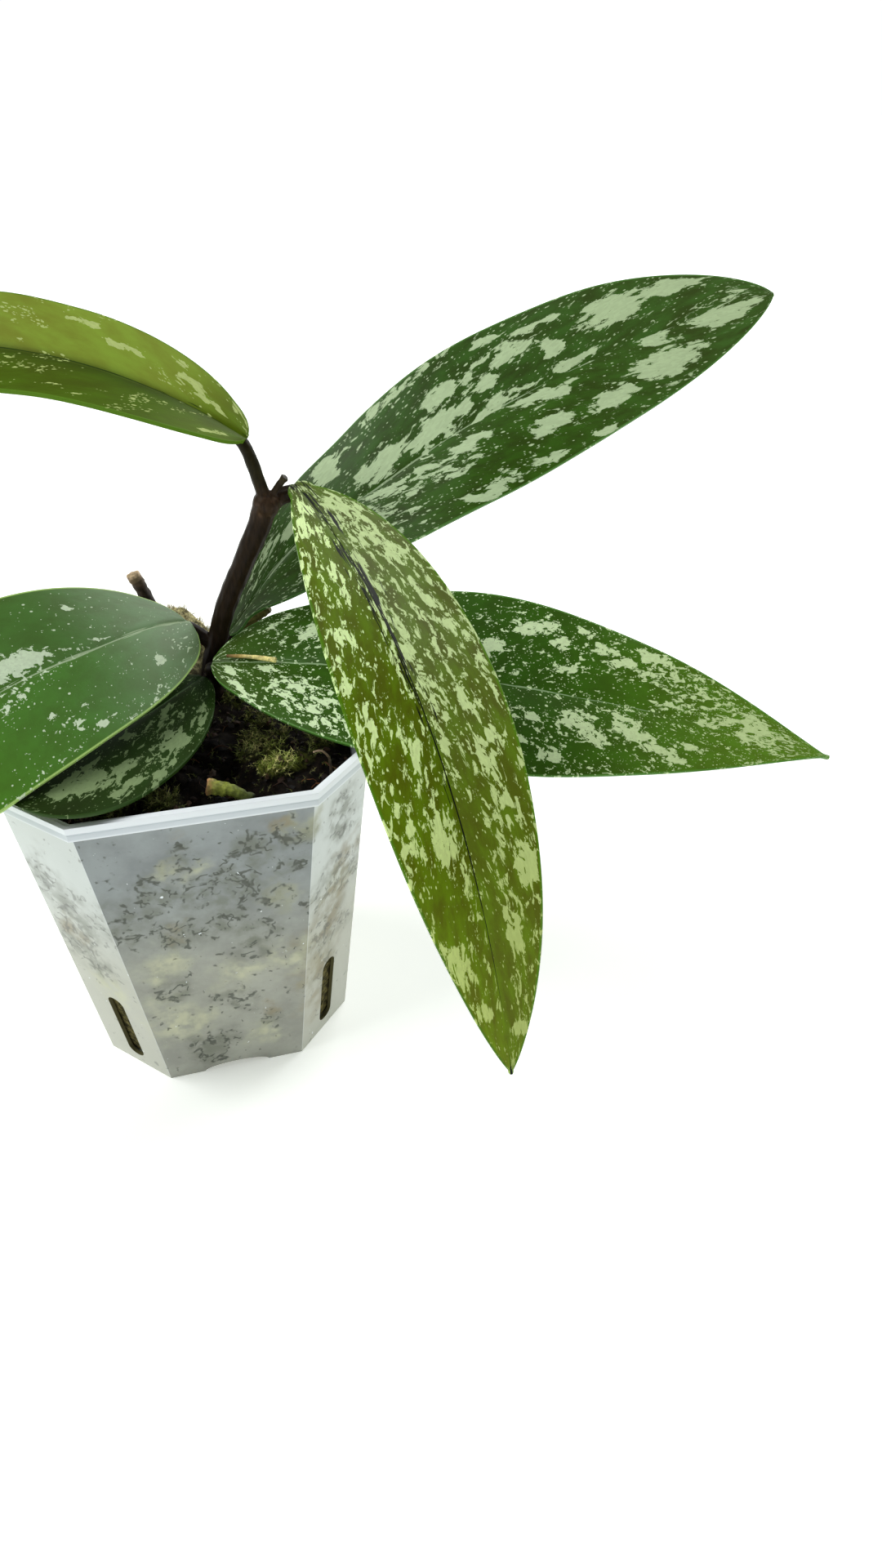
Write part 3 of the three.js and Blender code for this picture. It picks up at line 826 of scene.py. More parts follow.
LEAVES: tuple[LeafBlade, ...] = (
    LeafBlade(
        "leaf_top_left",
        BladeShape(
            base=(18.6, 12.3, 128.7), heading=153.5, sweep=11.5, rise=29, droop=-63, lift=1, roll=12,
            twist=14.5, length=117, width=31, base_shape=0.57, tip_shape=0.82, fold=11.5, cup=0.06, waves=2,
            wave_height=0.5,
        ),
        LeafLook(
            name="young_hoya_leaf_skin", slot="young_leaf", face="#798c30", other_half="#455b0c",
            tip="#7d9044", base="#58720a", margin="#587c22", rib="#2c3f10", silver="#a9b970",
            silver_tip="#a3b26e", rib_look=RibLook.SHADED, gloss=0.04, readiness=-0.27, dots=0.01,
            dot_size=0.26, grain=0.9, stretch=2.4, slant=25, mottle=0.2, mottle_size=6.0, groove_shade=0.42,
            peak=0.06, crowding=0.02, swarming=0.12, seed=1.0,
            patches=(
                (0.115, 0.52, 5, 2), (0.235, 0.53, 4.5, 1.2), (0.31, 0.75, 5, 1.2), (0.065, 0.37, 3, 0.8),
                (0.14, 0.8, 3.5, 0.8), (0.045, -0.7, 2.5, 1), (0.24, -0.82, 1, 0.6), (0.375, -0.22, 3, 0.8),
                (0.03, 0.8, 3.5, 0.8), (0.55, 0.6, 4, 1.4), (0.68, -0.5, 4, 1.2), (0.8, 0.3, 4, 1),
            ),
            swarms=((0.36, -0.6, 10, 1.6), (0.08, 0.8, 10, 1.6)),
        ),
    ),
    LeafBlade(
        "leaf_front",
        BladeShape(
            base=(27, 10.6, 120), heading=-72.5, sweep=-10.5, rise=-9.5, droop=-71, lift=13.5, roll=-16,
            twist=-1.5, length=122, width=28.5, base_shape=0.81, tip_shape=0.88, fold=22, cup=0.04, waves=3,
            wave_height=0.4, base_round=2.2,
        ),
        # Its face half's tip and silver are painted paler, as painted light on the half turned from the
        # lights.
        LeafLook(
            name="olive_hoya_leaf_skin", slot="olive_leaf", face="#546904", other_half="#4b5d09",
            tip="#566800", base="#506122", margin="#4a720c", rib="#0e1408", silver="#b4c88c",
            silver_tip="#9cab60", rib_look=RibLook.DARK_STREAKS, gloss=0.13, face_painted_light=1.5, readiness=-0.06,
            ragged=0.66, mottle=0.3, mottle_size=3.0, dots=0.45, dot_size=0.27, grain=0.8, stretch=2.4,
            slant=12,
            swarms=((0.35, -0.1, 32, 1.6), (0.35, 0.1, 28, 1.3), (0.15, -0.5, 14, 5), (0.55, -0.6, 10, 3)),
            streak_reach=3.0, peak=0.09, seed=2.0,
            patches=(
                (0.1, -0.65, 6, 2.2), (0.225, -0.72, 3.2, 2), (0.318, -0.68, 3, 1.2), (0.2, -0.14, 3, 0.8),
                (0.25, -0.15, 3, 1), (0.47, -0.56, 3, 1.6), (0.57, -0.62, 3, 1.8), (0.615, -0.7, 3, 1),
                (0.7, -0.82, 4, 2.5), (0.79, -0.52, 5, 2.5), (0.93, -0.62, 2, 2), (0.513, -0.13, 3, 0.9),
                (0.645, 0.32, 5, 2.8), (0.115, 0.68, 4, 1.5), (0.07, 0.42, 3, 1.5), (0.225, 0.4, 5, 1),
                (0.32, 0.7, 2.5, 1.5), (0.46, 0.75, 4, 1.5), (0.52, 0.3, 5, 1.5), (0.82, 0.75, 6, 2.5),
                (0.895, 0.58, 2.5, 1.8), (0.755, 0.25, 2, 1), (0.63, 0.75, 5, 1.2),
            ),
            bare=(
                (0.74, 0.55, 7, 3), (0.64, -0.12, 7, 1.8), (0.87, -0.12, 7, 2.2), (0.3, 0.32, 6, 1.5),
                (0.95, 0.3, 6, 3), (0.8, -0.2, 8, 2), (0.2, 0.25, 5, 1.2), (0.4, 0.3, 5, 1.5),
                (0.75, 0.4, 5, 2),
            ),
        ),
    ),
    LeafBlade(
        "leaf_back_right",
        BladeShape(
            base=(11.7, 20.5, 84.9), heading=16, sweep=-22, rise=42.5, droop=-40.5, lift=13, roll=-25,
            twist=-25.5, length=142, width=36.5, base_shape=0.84, tip_shape=0.72, fold=5.5, cup=0.07,
            waves=3, wave_height=0.5, bow=-2.6,
            uneven=((-1, -0.18, 0.1, 0.13), (1, -0.5, 0.035, 0.045), (1, 0.12, 0.17, 0.06)),
        ),
        LeafLook(
            name="dark_hoya_leaf_skin", slot="dark_leaf", face="#2f4d0c", other_half="#304d15",
            tip="#3a5420", base="#33491c", margin="#4c7834", rib="#8ba079", silver="#afc499",
            silver_tip="#a8bc90", rib_look=RibLook.PALE_LINE, gloss=0.14, readiness=-0.135, dots=0.5,
            dot_size=0.3, grain=0.9, soft=0.03, swarming=0.4, ragged=0.66, stretch=2.8, slant=14, mottle=0.3,
            mottle_size=2.6, peak=0.17, seed=3.0,
            swarms=(
                (0.25, 0.45, 18, 8), (0.4, 0.3, 16, 5), (0.4, -0.88, 30, 2), (0.55, -0.55, 12, 4),
                (0.5, -0.08, 20, 1.6), (0.93, -0.2, 8, 5), (0.5, 0.85, 12, 2), (0.3, 0.85, 14, 2.5),
                (0.12, -0.5, 12, 4),
            ),
            patches=(
                (0.272, -0.72, 4, 3), (0.347, -0.26, 8.5, 2.5), (0.45, -0.21, 9, 2.5),
                (0.478, -0.53, 4.5, 2), (0.545, -0.35, 3.5, 1.5), (0.597, -0.55, 5.5, 1.8),
                (0.66, -0.36, 3, 2), (0.76, -0.6, 8, 3.5), (0.856, -0.75, 8, 1.8), (0.616, 0.14, 11, 1.5),
                (0.6, 0.49, 6, 2), (0.706, 0.59, 7, 2), (0.81, 0.52, 9, 3.5), (0.447, 0.88, 5, 1.4),
                (0.566, 0.86, 5, 1), (0.35, 0.13, 8, 0.7), (0.475, 0.2, 6, 1.5), (0.55, -0.04, 11, 0.8),
                (0.675, -0.1, 5, 0.8), (0.92, 0.02, 9, 3), (0.575, -0.85, 4, 0.8), (0.65, -0.75, 6, 0.6),
                (0.67, 0.93, 4, 0.8), (0.805, 0.1, 4, 1.5), (0.2, -0.4, 8, 1.6),
            ),
            bare=(
                (0.38, -0.65, 5, 2.5), (0.7, 0.25, 8, 1.6), (0.9, -0.5, 6, 2.5), (0.35, 0.92, 8, 1.5),
                (0.9, 0.75, 6, 2),
            ),
        ),
    ),
    LeafBlade(
        "leaf_right",
        BladeShape(
            base=(7.1, 5.4, 86.3), heading=-24, sweep=5.5, rise=7.5, droop=-32.5, lift=10.5, roll=-19.5,
            twist=-24, length=128, width=40.5, base_shape=0.69, tip_shape=1.12, fold=7.5, cup=0.07, waves=3,
            wave_height=0.5, base_round=4.0, uneven=((-1, 0.2, 0.045, 0.06),),
        ),
        LeafLook(
            name="green_hoya_leaf_skin", slot="green_leaf", face="#2f5306", other_half="#2f5407",
            tip="#56791c", base="#3c571c", margin="#4f8030", rib="#88a476", silver="#cfe5b6",
            silver_tip="#b2c68a", rib_look=RibLook.PALE_LINE, gloss=0.16, readiness=-0.1, ragged=0.66,
            dots=0.4, dot_size=0.34, grain=0.85, stretch=1.35, slant=24, patch_slant=12, peak=0.08, seed=4.0,
            swarms=((0.17, 0.6, 15, 8), (0.27, 0.7, 14, 6), (0.75, -0.5, 16, 8), (0.9, 0.0, 9, 5)),
            patches=(
                (0.15, -0.5, 3, 2.5), (0.44, -0.4, 5, 2.5), (0.5, -0.7, 6, 2), (0.545, -0.6, 3.5, 1.5),
                (0.59, -0.82, 4, 1), (0.647, -0.56, 5, 1.8), (0.69, -0.8, 5, 1.5), (0.51, 0.37, 3.5, 1.2),
                (0.507, 0.62, 2.5, 1.2), (0.58, 0.31, 5, 3), (0.675, 0.37, 6, 2.5), (0.72, 0.62, 5, 1.5),
                (0.775, 0.55, 3, 1), (0.745, 0.8, 3.5, 1.2), (0.557, 0.78, 4, 1.5), (0.87, -0.37, 5, 2.5),
                (0.805, -0.15, 5, 1.5), (0.87, 0.02, 5, 2), (0.03, 0.4, 2, 1.4), (0.065, 0.86, 5, 1.0),
                (0.13, 0.63, 2, 1.5), (0.16, 0.42, 1.8, 1.2), (0.1, 0.16, 3, 0.9), (0.19, -0.42, 5, 1.8),
                (0.1, -0.75, 3, 0.8), (0.3, -0.6, 5, 2), (0.35, 0.5, 4, 2), (0.62, 0.5, 5, 1.5),
                (0.56, -0.3, 4, 1.2), (0.65, 0.18, 4, 0.9), (0.61, -0.68, 4, 1.2),
            ),
            bare=(
                (0.6, -0.2, 7, 1.5), (0.52, 0.14, 7, 1.6), (0.7, -0.3, 6, 2), (0.8, 0.8, 8, 1.5),
                (0.63, 0.7, 5, 1.5), (0.4, -0.9, 6, 1), (0.08, 0.5, 3, 1.2), (0.06, -0.3, 5, 2),
            ),
        ),
    ),
    LeafBlade(
        "leaf_left",
        BladeShape(
            base=(4.4, 11.1, 90.9), heading=215, sweep=6, rise=18.7, droop=-70.5, lift=-2.5, roll=32,
            twist=-13.5, length=123, width=37, base_shape=0.57, tip_shape=0.94, fold=5, cup=0.07, waves=2,
            wave_height=0.4, base_round=3.6, rib_off=2.6,
        ),
        # Its base colour, grey-green over the first quarter, is a painted sheen.
        LeafLook(
            name="plain_hoya_leaf_skin", slot="green_leaf", face="#486c2f", other_half="#46702a",
            # Its pale margin is partly its own colour and partly painted light through the thin edge.
            tip="#467412", base_reach=0.25, base="#6c875e", margin="#a9cc72", rib="#9bb189",
            silver="#c6d8b8", silver_tip="#c0d3ae", rib_look=RibLook.PALE_LINE, gloss=0.18, tip_from=0.2,
            readiness=-0.28, dots=0.11, dot_size=0.32, grain=0.8, stretch=1.25, slant=20, mottle=0.12,
            peak=0.15, crowding=0.03, seed=5.0,
            swarms=(
                (0.32, 0.04, 18, 2.2), (0.32, -0.04, 18, 2.6), (0.12, -0.86, 20, 2.2), (0.04, -0.6, 6, 4),
                (0.36, -0.1, 9, 6), (0.4, -0.93, 44, 1.4), (0.17, -0.4, 4, 2), (0.3, -0.6, 8, 3),
                (0.22, 0.1, 14, 1.6),
            ),
            patches=(
                (0.108, -0.55, 1.4, 1), (0.27, -0.81, 0.9, 0.6), (0.295, -0.71, 1.1, 0.8),
                (0.325, -0.49, 0.8, 0.6), (0.39, -0.72, 0.8, 0.6), (0.183, 0.65, 1.3, 0.8),
                (0.13, 0.6, 0.7, 0.6), (0.335, 0.21, 10, 2.8), (0.42, 0.3, 7, 3), (0.62, -0.4, 5, 2),
                (0.72, 0.35, 6, 2), (0.55, 0.7, 4, 1.5), (0.8, -0.2, 4, 1.2),
            ),
        ),
    ),
    LeafBlade(
        "leaf_lower_left",
        BladeShape(
            base=(4.7, 7.3, 82.2), heading=230, sweep=-7, rise=0, droop=6.5, lift=0, roll=4, twist=6.5,
            length=52, width=32.5, base_shape=0.67, tip_shape=0.4, fold=6, cup=0.08, waves=1,
            wave_height=0.2,
        ),
        LeafLook(
            name="old_hoya_leaf_skin", slot="dark_leaf", face="#223a0e", other_half="#213909", tip="#1d2f07",
            base="#2a401c", margin="#2c4618", rib="#5c7450", silver="#7d9266", silver_tip="#788c60",
            rib_look=RibLook.PALE_LINE, gloss=0.1, readiness=-0.13, dots=0.5, dot_size=0.3, grain=0.8,
            slant=20, peak=0.1, ragged=0.66, seed=6.0,
            patches=(
                (0.4, -0.67, 4.5, 3), (0.3, -0.47, 3, 1.6), (0.27, -0.87, 3, 0.8), (0.19, -0.71, 4, 0.8),
                (0.6, -0.93, 3, 1.2), (0.7, -0.82, 4, 1.2), (0.79, -0.47, 7, 4), (0.66, -0.55, 5, 2),
                (0.72, -0.28, 5, 1), (0.48, -0.18, 2, 0.9), (0.89, -0.46, 1.5, 1), (0.28, -0.17, 5, 0.7),
                (0.45, 0.4, 4, 2), (0.7, 0.55, 5, 2),
            ),
            swarms=((0.5, -0.75, 12, 4), (0.35, -0.3, 10, 3)),
        ),
    ),
)


@dataclass(frozen=True)
class FrostedPlastic:
    """Frosted polypropylene, moulded: the damp moss that lies against it shows through, blurred."""

    name: str = "frosted_polypropylene"
    high: str = "#888f8f"
    low: str = "#989a8e"
    cream: str = "#b9bb9c"
    thread: str = "#363b2e"
    blotch: str = "#5f6453"
    stain: str = "#857a5a"
    corner: str = "#d3dad6"
    corner_low: str = "#b3b5a6"
    # The openings' cut faces, painted dark olive as the shade inside the slots and arches.
    hole: str = "#5d5a3c"
    inside: str = "#c9d0d3"
    # Painted highlights on the upright edges, on a few scratches and on the lip's beads; then the lip,
    # painted pale as light that comes through its thick plastic.
    rim: str = "#e6ecef"
    lip_painted_light: str = "#d0d8dc"
    # The heights, in mm, between which the low colours turn to the high ones.
    turns: tuple[float, float] = (30, 66)
    # The lip's lower edge, and where its two beads of painted highlight start and end; the upper one has no
    # end.
    lip: float = 76.4
    beads: tuple[tuple[float, float | None], ...] = ((76.6, 77.1), (78.6, None))
    tangles: tuple[Spot, ...] = (
        (8.4, -33, 66.8, 5), (6.0, -32.5, 60.5, 5.5), (-3.8, -33, 68, 4), (-1.6, -32.2, 58, 5),
        (-8, -32.4, 60, 5), (-13, -32.2, 56.5, 6), (-16.5, -31.7, 51, 5), (15.5, -32.6, 62.5, 4),
        (0.5, -31.5, 50, 6), (8, -31, 43, 6), (12, -32, 54, 6), (-7, -31.3, 47, 6), (16, -33.4, 70.5, 5),
        (-11, -30, 30.8, 4.5), (3.1, -29.4, 23.9, 4.5), (9, -28.7, 15.2, 4), (-5, -28.4, 9.5, 6),
        (-29, -22, 61, 6), (-25, -24, 50, 9), (-25.5, -22, 38, 8), (27, -25, 66, 7), (25.5, -24.5, 50, 9),
        (23, -25, 36, 8), (21, -25, 24, 6), (33, 10, 55, 10), (31, -6, 40, 9), (30, 14, 30, 8),
        (-32, 5, 50, 11), (-30, -8, 33, 8), (-31, 14, 60, 8), (6, 33, 58, 10), (-12, 32, 45, 9),
        (14, 31, 36, 8), (-2, 30, 22, 7),
    )
    creams: tuple[Spot, ...] = (
        (-3.4, -33, 65, 4), (13.3, -32, 53.7, 5), (-12, -30.7, 39.5, 6), (4, -30.2, 32.6, 6),
        (14.3, -30.3, 35, 6), (-10, -29.2, 21, 8), (17, -33.4, 72, 4), (7, -28.5, 11, 5),
        (25, -24.5, 49, 5), (20.5, -26, 26, 5), (-23, -24, 30, 6), (31, 0, 30, 8), (30, 10, 18, 7),
        (-30, 4, 26, 8), (0, 30, 30, 9), (-12, 29, 16, 6),
    )
    stains: tuple[Spot, ...] = (
        (-4.9, -33.6, 75, 2.5), (13, -33.5, 73, 3), (-7, -31.4, 48, 3), (8, -28.8, 19, 3), (25, -25, 46, 6),
        (23, -25.8, 38, 7), (20.5, -26.5, 26, 7), (27.5, -23.5, 54, 5), (19.5, -25.5, 15, 6),
        (-27, -23, 44, 4), (31, 8, 46, 7), (-31, -6, 42, 7), (4, 32, 48, 8),
    )

    def build(self) -> bpy.types.Material:
        """Builds the material.

        Returns:
            The material: grey and smooth above the soil, dark threads below it, cream patches lower down.
        """
        material, add, shader = new_material(self.name, 0.34, 0.45)
        spot = add("TexCoord", output="Object")
        height = add("SeparateXYZ", spot, output=2)
        corner, edge, inner, hole = (
            add("Attribute", output="Fac", attribute_name=name)
            for name in ("corner", "edge", "inner", "hole")
        )
        up = add("MapRange", height, *(z * MM for z in self.turns), **SOFT)
        wall = add("Mix", up, linear(self.low), linear(self.high), **MIXED)
        cloud = add("TexNoise", spot, 1 / (9 * MM), 5.0, 0.62, **GRAIN)
        shade = add("MapRange", cloud, 0.35, 0.65, 0.76, 1.08)
        wall = add("Mix", 1.0, wall, shade, **TIMES)
        # Light comes through the cut corners, more of it above the soil.
        bright = add("Mix", up, linear(self.corner_low), linear(self.corner), **MIXED)
        through = add("Math", corner, 0.8, operation="MULTIPLY")
        wall = add("Mix", through, wall, bright, **MIXED)
        # Pale moss and brown bark pressed against the wall, in places whose outlines stray by up to 8 mm.
        swirl = add("TexNoise", spot, 1 / (7 * MM), 4.0, output="Color", **GRAIN)
        swirl = add("VectorMath", swirl, (0.5, 0.5, 0.5), operation="SUBTRACT")
        ragged = add("VectorMath", swirl, (16 * MM, 16 * MM, 16 * MM), spot, operation="MULTIPLY_ADD")
        uneven = add("TexNoise", spot, 1 / (3.2 * MM), 4.0, **GRAIN)
        uneven = add("MapRange", uneven, 0.35, 0.62, 0.15, 1.0, **SOFT)
        creams, nest, stains = (
            self.near(add, ragged, at) for at in (self.creams, self.tangles, self.stains)
        )
        for place, color, strength in (
            (creams, self.cream, 0.9), (nest, self.blotch, 0.75), (stains, self.stain, 0.7)
        ):
            for factor in (uneven, strength):
                place = add("Math", place, factor, operation="MULTIPLY")
            wall = add("Mix", place, wall, linear(color), **MIXED)
        # Threads of moss that touch the wall: thin bands of a warped noise, about 0.6 mm wide, broken
        # short and fewer towards a tangle's edge.
        fewer = add("MapRange", nest, 0.05, 0.8, -0.16, 0.02)
        weaker = add("MapRange", corner, 0, 1, 0.85, 0.5)
        for size, cut, wide in ((6.2, 2.3, 0.05), (4.2, 1.9, 0.044)):
            wave = add("TexNoise", spot, 1 / (size * MM), 2.0, 0.6, 0.35, **GRAIN)
            wave = add("Math", wave, 0.5, operation="SUBTRACT")
            wave = add("Math", wave, operation="ABSOLUTE")
            band = add("MapRange", wave, wide, 0.2 * wide, **SOFT)
            gaps = add("TexNoise", spot, 1 / (cut * MM), 2.0, **GRAIN)
            gaps = add("Math", gaps, fewer, operation="ADD")
            gaps = add("MapRange", gaps, 0.47, 0.56, **SOFT)
            for factor in (gaps, weaker):
                band = add("Math", band, factor, operation="MULTIPLY")
            wall = add("Mix", band, wall, linear(self.thread), **MIXED)
        # Painted highlights on the upright edges and on a few scratches; then the inside, the openings,
        # painted dark as shade, and the lip, painted pale as light that comes through its thick clear
        # plastic.
        lit = add("Math", edge, 0.5, operation="MULTIPLY")
        scratch = add("TexNoise", spot, 1 / (1.1 * MM), 2.0, **GRAIN)
        scratch = add("MapRange", scratch, 0.74, 0.78)
        lip = add("MapRange", height, self.lip * MM, (self.lip + 0.4) * MM)
        layers = [
            (lit, self.rim), (scratch, self.rim), (inner, self.inside), (hole, self.hole),
            (lip, self.lip_painted_light),
        ]
        for low, high in self.beads:
            bead = add("MapRange", height, low * MM, (low + 0.2) * MM)
            if high:
                top = add("MapRange", height, high * MM, (high + 0.3) * MM, 1.0, 0.0)
                bead = add("Math", bead, top, operation="MULTIPLY")
            layers.append((bead, self.rim))
        for share, color in layers:
            wall = add("Mix", share, wall, linear(color), **MIXED)
        connect(shader, {"Base Color": wall})
        return material

    def near(self, add: AddNode, spot: Socket, clumps: tuple[Spot, ...]) -> Socket:
        """Finds what lies within one of some clumps.

        Args:
            add: The helper that adds nodes.
            spot: The place on the pot.
            clumps: The clumps.

        Returns:
            1 in the middle of a clump, falling to 0 beyond its edge.
        """
        found = None
        for x, y, z, radius in clumps:
            middle = (x * MM, y * MM, z * MM)
            away = add("VectorMath", spot, middle, output="Value", operation="DISTANCE")
            share = add("MapRange", away, 1.4 * radius * MM, 0.2 * radius * MM, **SOFT)
            found = share if found is None else add("Math", found, share, operation="MAXIMUM")
        return found


@dataclass
class NurseryPot:
    """The square nursery pot with cut corners, drain slots and arches under its sides."""

    height: float = 80.0
    base_half: float = 27.5
    top_half: float = 34.0
    lip_half: float = 35.0
    lip_height: float = 3.2
    lip_round: float = 0.22
    step: float = 0.45
    corner_cut: float = 12.6
    corner_bevel: float = 1.2
    wall: float = 0.9
    floor: float = 3.0
    slot_width: float = 4.4
    slot_round: float = 2.1
    slot_depth: float = 14.0
    slot_bottom: float = 3.2
    slot_top: float = 24.5
    slot_away: float = 31.5
    arch_half: float = 7.2
    arch_height: float = 1.8
    arch_depth: float = 7.0
    arch_past: float = 4.0

    def wall_half(self, height: np.ndarray | float) -> np.ndarray | float:
        """Returns half the width over the walls at a height."""
        return self.base_half + (self.top_half - self.base_half) * height / self.height

    def levels(self) -> list[tuple[float, float]]:
        """Lists the shell's rings: up outside, over the lip and down inside.

        Returns:
            The half width and the height of each ring.
        """
        under_lip = self.height - self.lip_height
        line = under_lip + 0.48 * self.lip_height
        return [
            (self.base_half, 0.0),
            (self.wall_half(under_lip), under_lip),
            (self.lip_half - 0.1, under_lip + 0.15),
            (self.lip_half - 0.25, line - 0.1),
            (self.lip_half - 0.35, line),
            (self.lip_half, line + 0.25),
            (self.lip_half, self.height),
            (self.top_half + 0.1, self.height),
            (self.top_half - 0.15, self.height - self.step),
            (self.top_half - self.wall, self.height - self.step),
            (self.wall_half(self.floor) - self.wall, self.floor),
        ]

    def build(self) -> None:
        """Extrudes the octagon through its levels, rounds its edges and cuts its openings."""
        bpy.ops.mesh.primitive_circle_add(vertices=8, radius=1, fill_type="NGON")
        piece = made("pot_shell")
        flat = coordinates(piece)
        order = np.argsort(np.arctan2(flat[:, 1], flat[:, 0]))
        # A first octagon with sides of this share of its width; cut_corners gives the true one.
        cut = 0.6
        ring = [(-1, -cut), (-cut, -1), (cut, -1), (1, -cut), (1, cut), (cut, 1), (-cut, 1), (-1, cut)]
        for k, (x, y) in zip(order, ring):
            flat[k] = (x * self.base_half * MM, y * self.base_half * MM, 0)
        move_points(piece, flat)
        steps = []
        levels = self.levels()
        for (before, under), (half, height) in zip(levels, levels[1:]):
            steps += [
                partial(
                    bpy.ops.mesh.extrude_region_move,
                    TRANSFORM_OT_translate={"value": (0, 0, (height - under) * MM)},
                ),
                partial(
                    bpy.ops.transform.resize, value=(half / before, half / before, 1),
                    center_override=(0, 0, 0),
                ),
            ]
        face_outwards(piece, *steps, partial(bpy.ops.mesh.select_all, action="SELECT"))
        self.cut_corners(piece)
        self.round_edges(piece)
        self.cut_openings(piece)
        self.tell_faces(piece)
        finish_piece(piece, "pot", FrostedPlastic().build(), "pot", angle=28)

    def corner_leg(self, half: np.ndarray | float, height: np.ndarray | float) -> np.ndarray | float:
        """Works out how much of a side the cut corner takes, the same at each height on the outer wall.

        Args:
            half: Half the width at the place.
            height: Its height.

        Returns:
            The length of side that is cut off; a wall further in loses 2 - sqrt(2) less for each millimetre.
        """
        return self.corner_cut - 0.586 * (self.wall_half(height) - half)

    def cut_corners(self, piece: Piece) -> None:
        """Moves the shell's points along the sides, so that the cut corners keep their width to the base.

        Args:
            piece: The shell.
        """
        points = coordinates(piece) / MM
        half = np.abs(points[:, :2]).max(1)
        nearer = np.abs(points[:, :2]).argmin(1)
        rows = np.arange(len(points))
        new = half - self.corner_leg(half, points[:, 2])
        points[rows, nearer] = np.sign(points[rows, nearer]) * new
        move_points(piece, points * MM)

    def pick_edges(self, piece: Piece, upright: bool) -> None:
        """Selects some of the shell's edges.

        Args:
            piece: The shell.
            upright: Whether these are the upright corner edges, or else the lip's uppermost edges.
        """
        choose(piece)
        mesh = piece.data
        for part in (mesh.vertices, mesh.edges, mesh.polygons):
            part.foreach_set("select", np.zeros(len(part), bool))
        for edge in mesh.edges:
            low, high = sorted(mesh.vertices[k].co.z / MM for k in edge.vertices)
            edge.select = high - low > 0.05 if upright else high - low < 0.01 and low > self.height - 0.1

    def round_edges(self, piece: Piece) -> None:
        """Rounds the pot's corners and the edges of its lip.

        Args:
            piece: The shell.
        """
        for upright, width, segments in ((True, self.corner_bevel, 4), (False, self.lip_round, 2)):
            self.pick_edges(piece, upright)
            edit(
                partial(bpy.ops.mesh.select_mode, type="EDGE"),
                partial(
                    bpy.ops.mesh.bevel, offset=width * MM, segments=segments, affect="EDGES",
                    clamp_overlap=True,
                ),
            )

    def cut_openings(self, piece: Piece) -> None:
        """Cuts a round-topped slot in each corner and a low arch under each side.

        Args:
            piece: The shell.
        """
        cutters = []
        height = self.slot_top - self.slot_bottom
        depth = self.arch_depth + self.arch_past
        for k in range(4):
            bpy.ops.mesh.primitive_cube_add(size=1)
            slot = made("slot_cut")
            slot.data.transform(
                Matrix.Diagonal((self.slot_width * MM, self.slot_depth * MM, height * MM, 1))
            )
            modify(
                slot, "BEVEL", width=self.slot_round * MM, segments=6, limit_method="ANGLE",
                angle_limit=math.radians(60),
            )
            bpy.ops.mesh.primitive_cylinder_add(vertices=40, radius=1, depth=1, rotation=(math.pi / 2, 0, 0))
            arch = made("arch_cut")
            arch.data.transform(Matrix.Diagonal((self.arch_half * MM, depth * MM, self.arch_height * MM, 1)))
            for cutter, turn, away, up in (
                (slot, math.pi / 4, self.slot_away, self.slot_bottom + height / 2),
                (arch, 0, self.base_half - self.arch_depth + depth / 2, 0),
            ):
                place = Matrix.Translation((0, -away * MM, up * MM))
                cutter.data.transform(Matrix.Rotation(k * math.pi / 2 + turn, 4, "Z") @ place)
                cutters.append(cutter)
        cutter = joined("pot_cuts", cutters)
        modify(piece, "BOOLEAN", operation="DIFFERENCE", object=cutter, solver="EXACT")
        bpy.data.objects.remove(cutter)

    def tell_faces(self, piece: Piece) -> None:
        """Keeps on each face whether it is in a cut corner, an edge, on the inside, or in an opening.

        Args:
            piece: The shell.
        """
        normals, middles = rows_of(piece.data.polygons, "normal"), rows_of(piece.data.polygons, "center")
        level = np.abs(normals[:, 2]) < 0.4
        # How far a face turns away from the middle of its corner, in degrees.
        off = np.abs(np.degrees(np.arctan2(normals[:, 1], normals[:, 0])) % 90 - 45)
        inward = (normals * middles)[:, :2].sum(1) < 0
        facet = np.round(np.arctan2(middles[:, 1], middles[:, 0]) / (math.pi / 4)) * (math.pi / 4)
        facing = np.abs(normals[:, 0] * np.cos(facet) + normals[:, 1] * np.sin(facet))
        low = (middles[:, 2] > 0.3 * MM) & (middles[:, 2] < (self.slot_top + 0.5) * MM)
        hole = (facing < 0.6) & low & (np.abs(middles[:, :2]).max(1) > (self.base_half - 8) * MM)
        for name, values in (
            ("corner", (1 - smoothstep(off, 8, 40)) * level),
            ("edge", smoothstep(off, 2, 14) * (1 - smoothstep(off, 31, 43)) * level),
            ("inner", (inward & level).astype(float)),
            ("hole", hole.astype(float)),
        ):
            store(piece, name, values, "FACE")


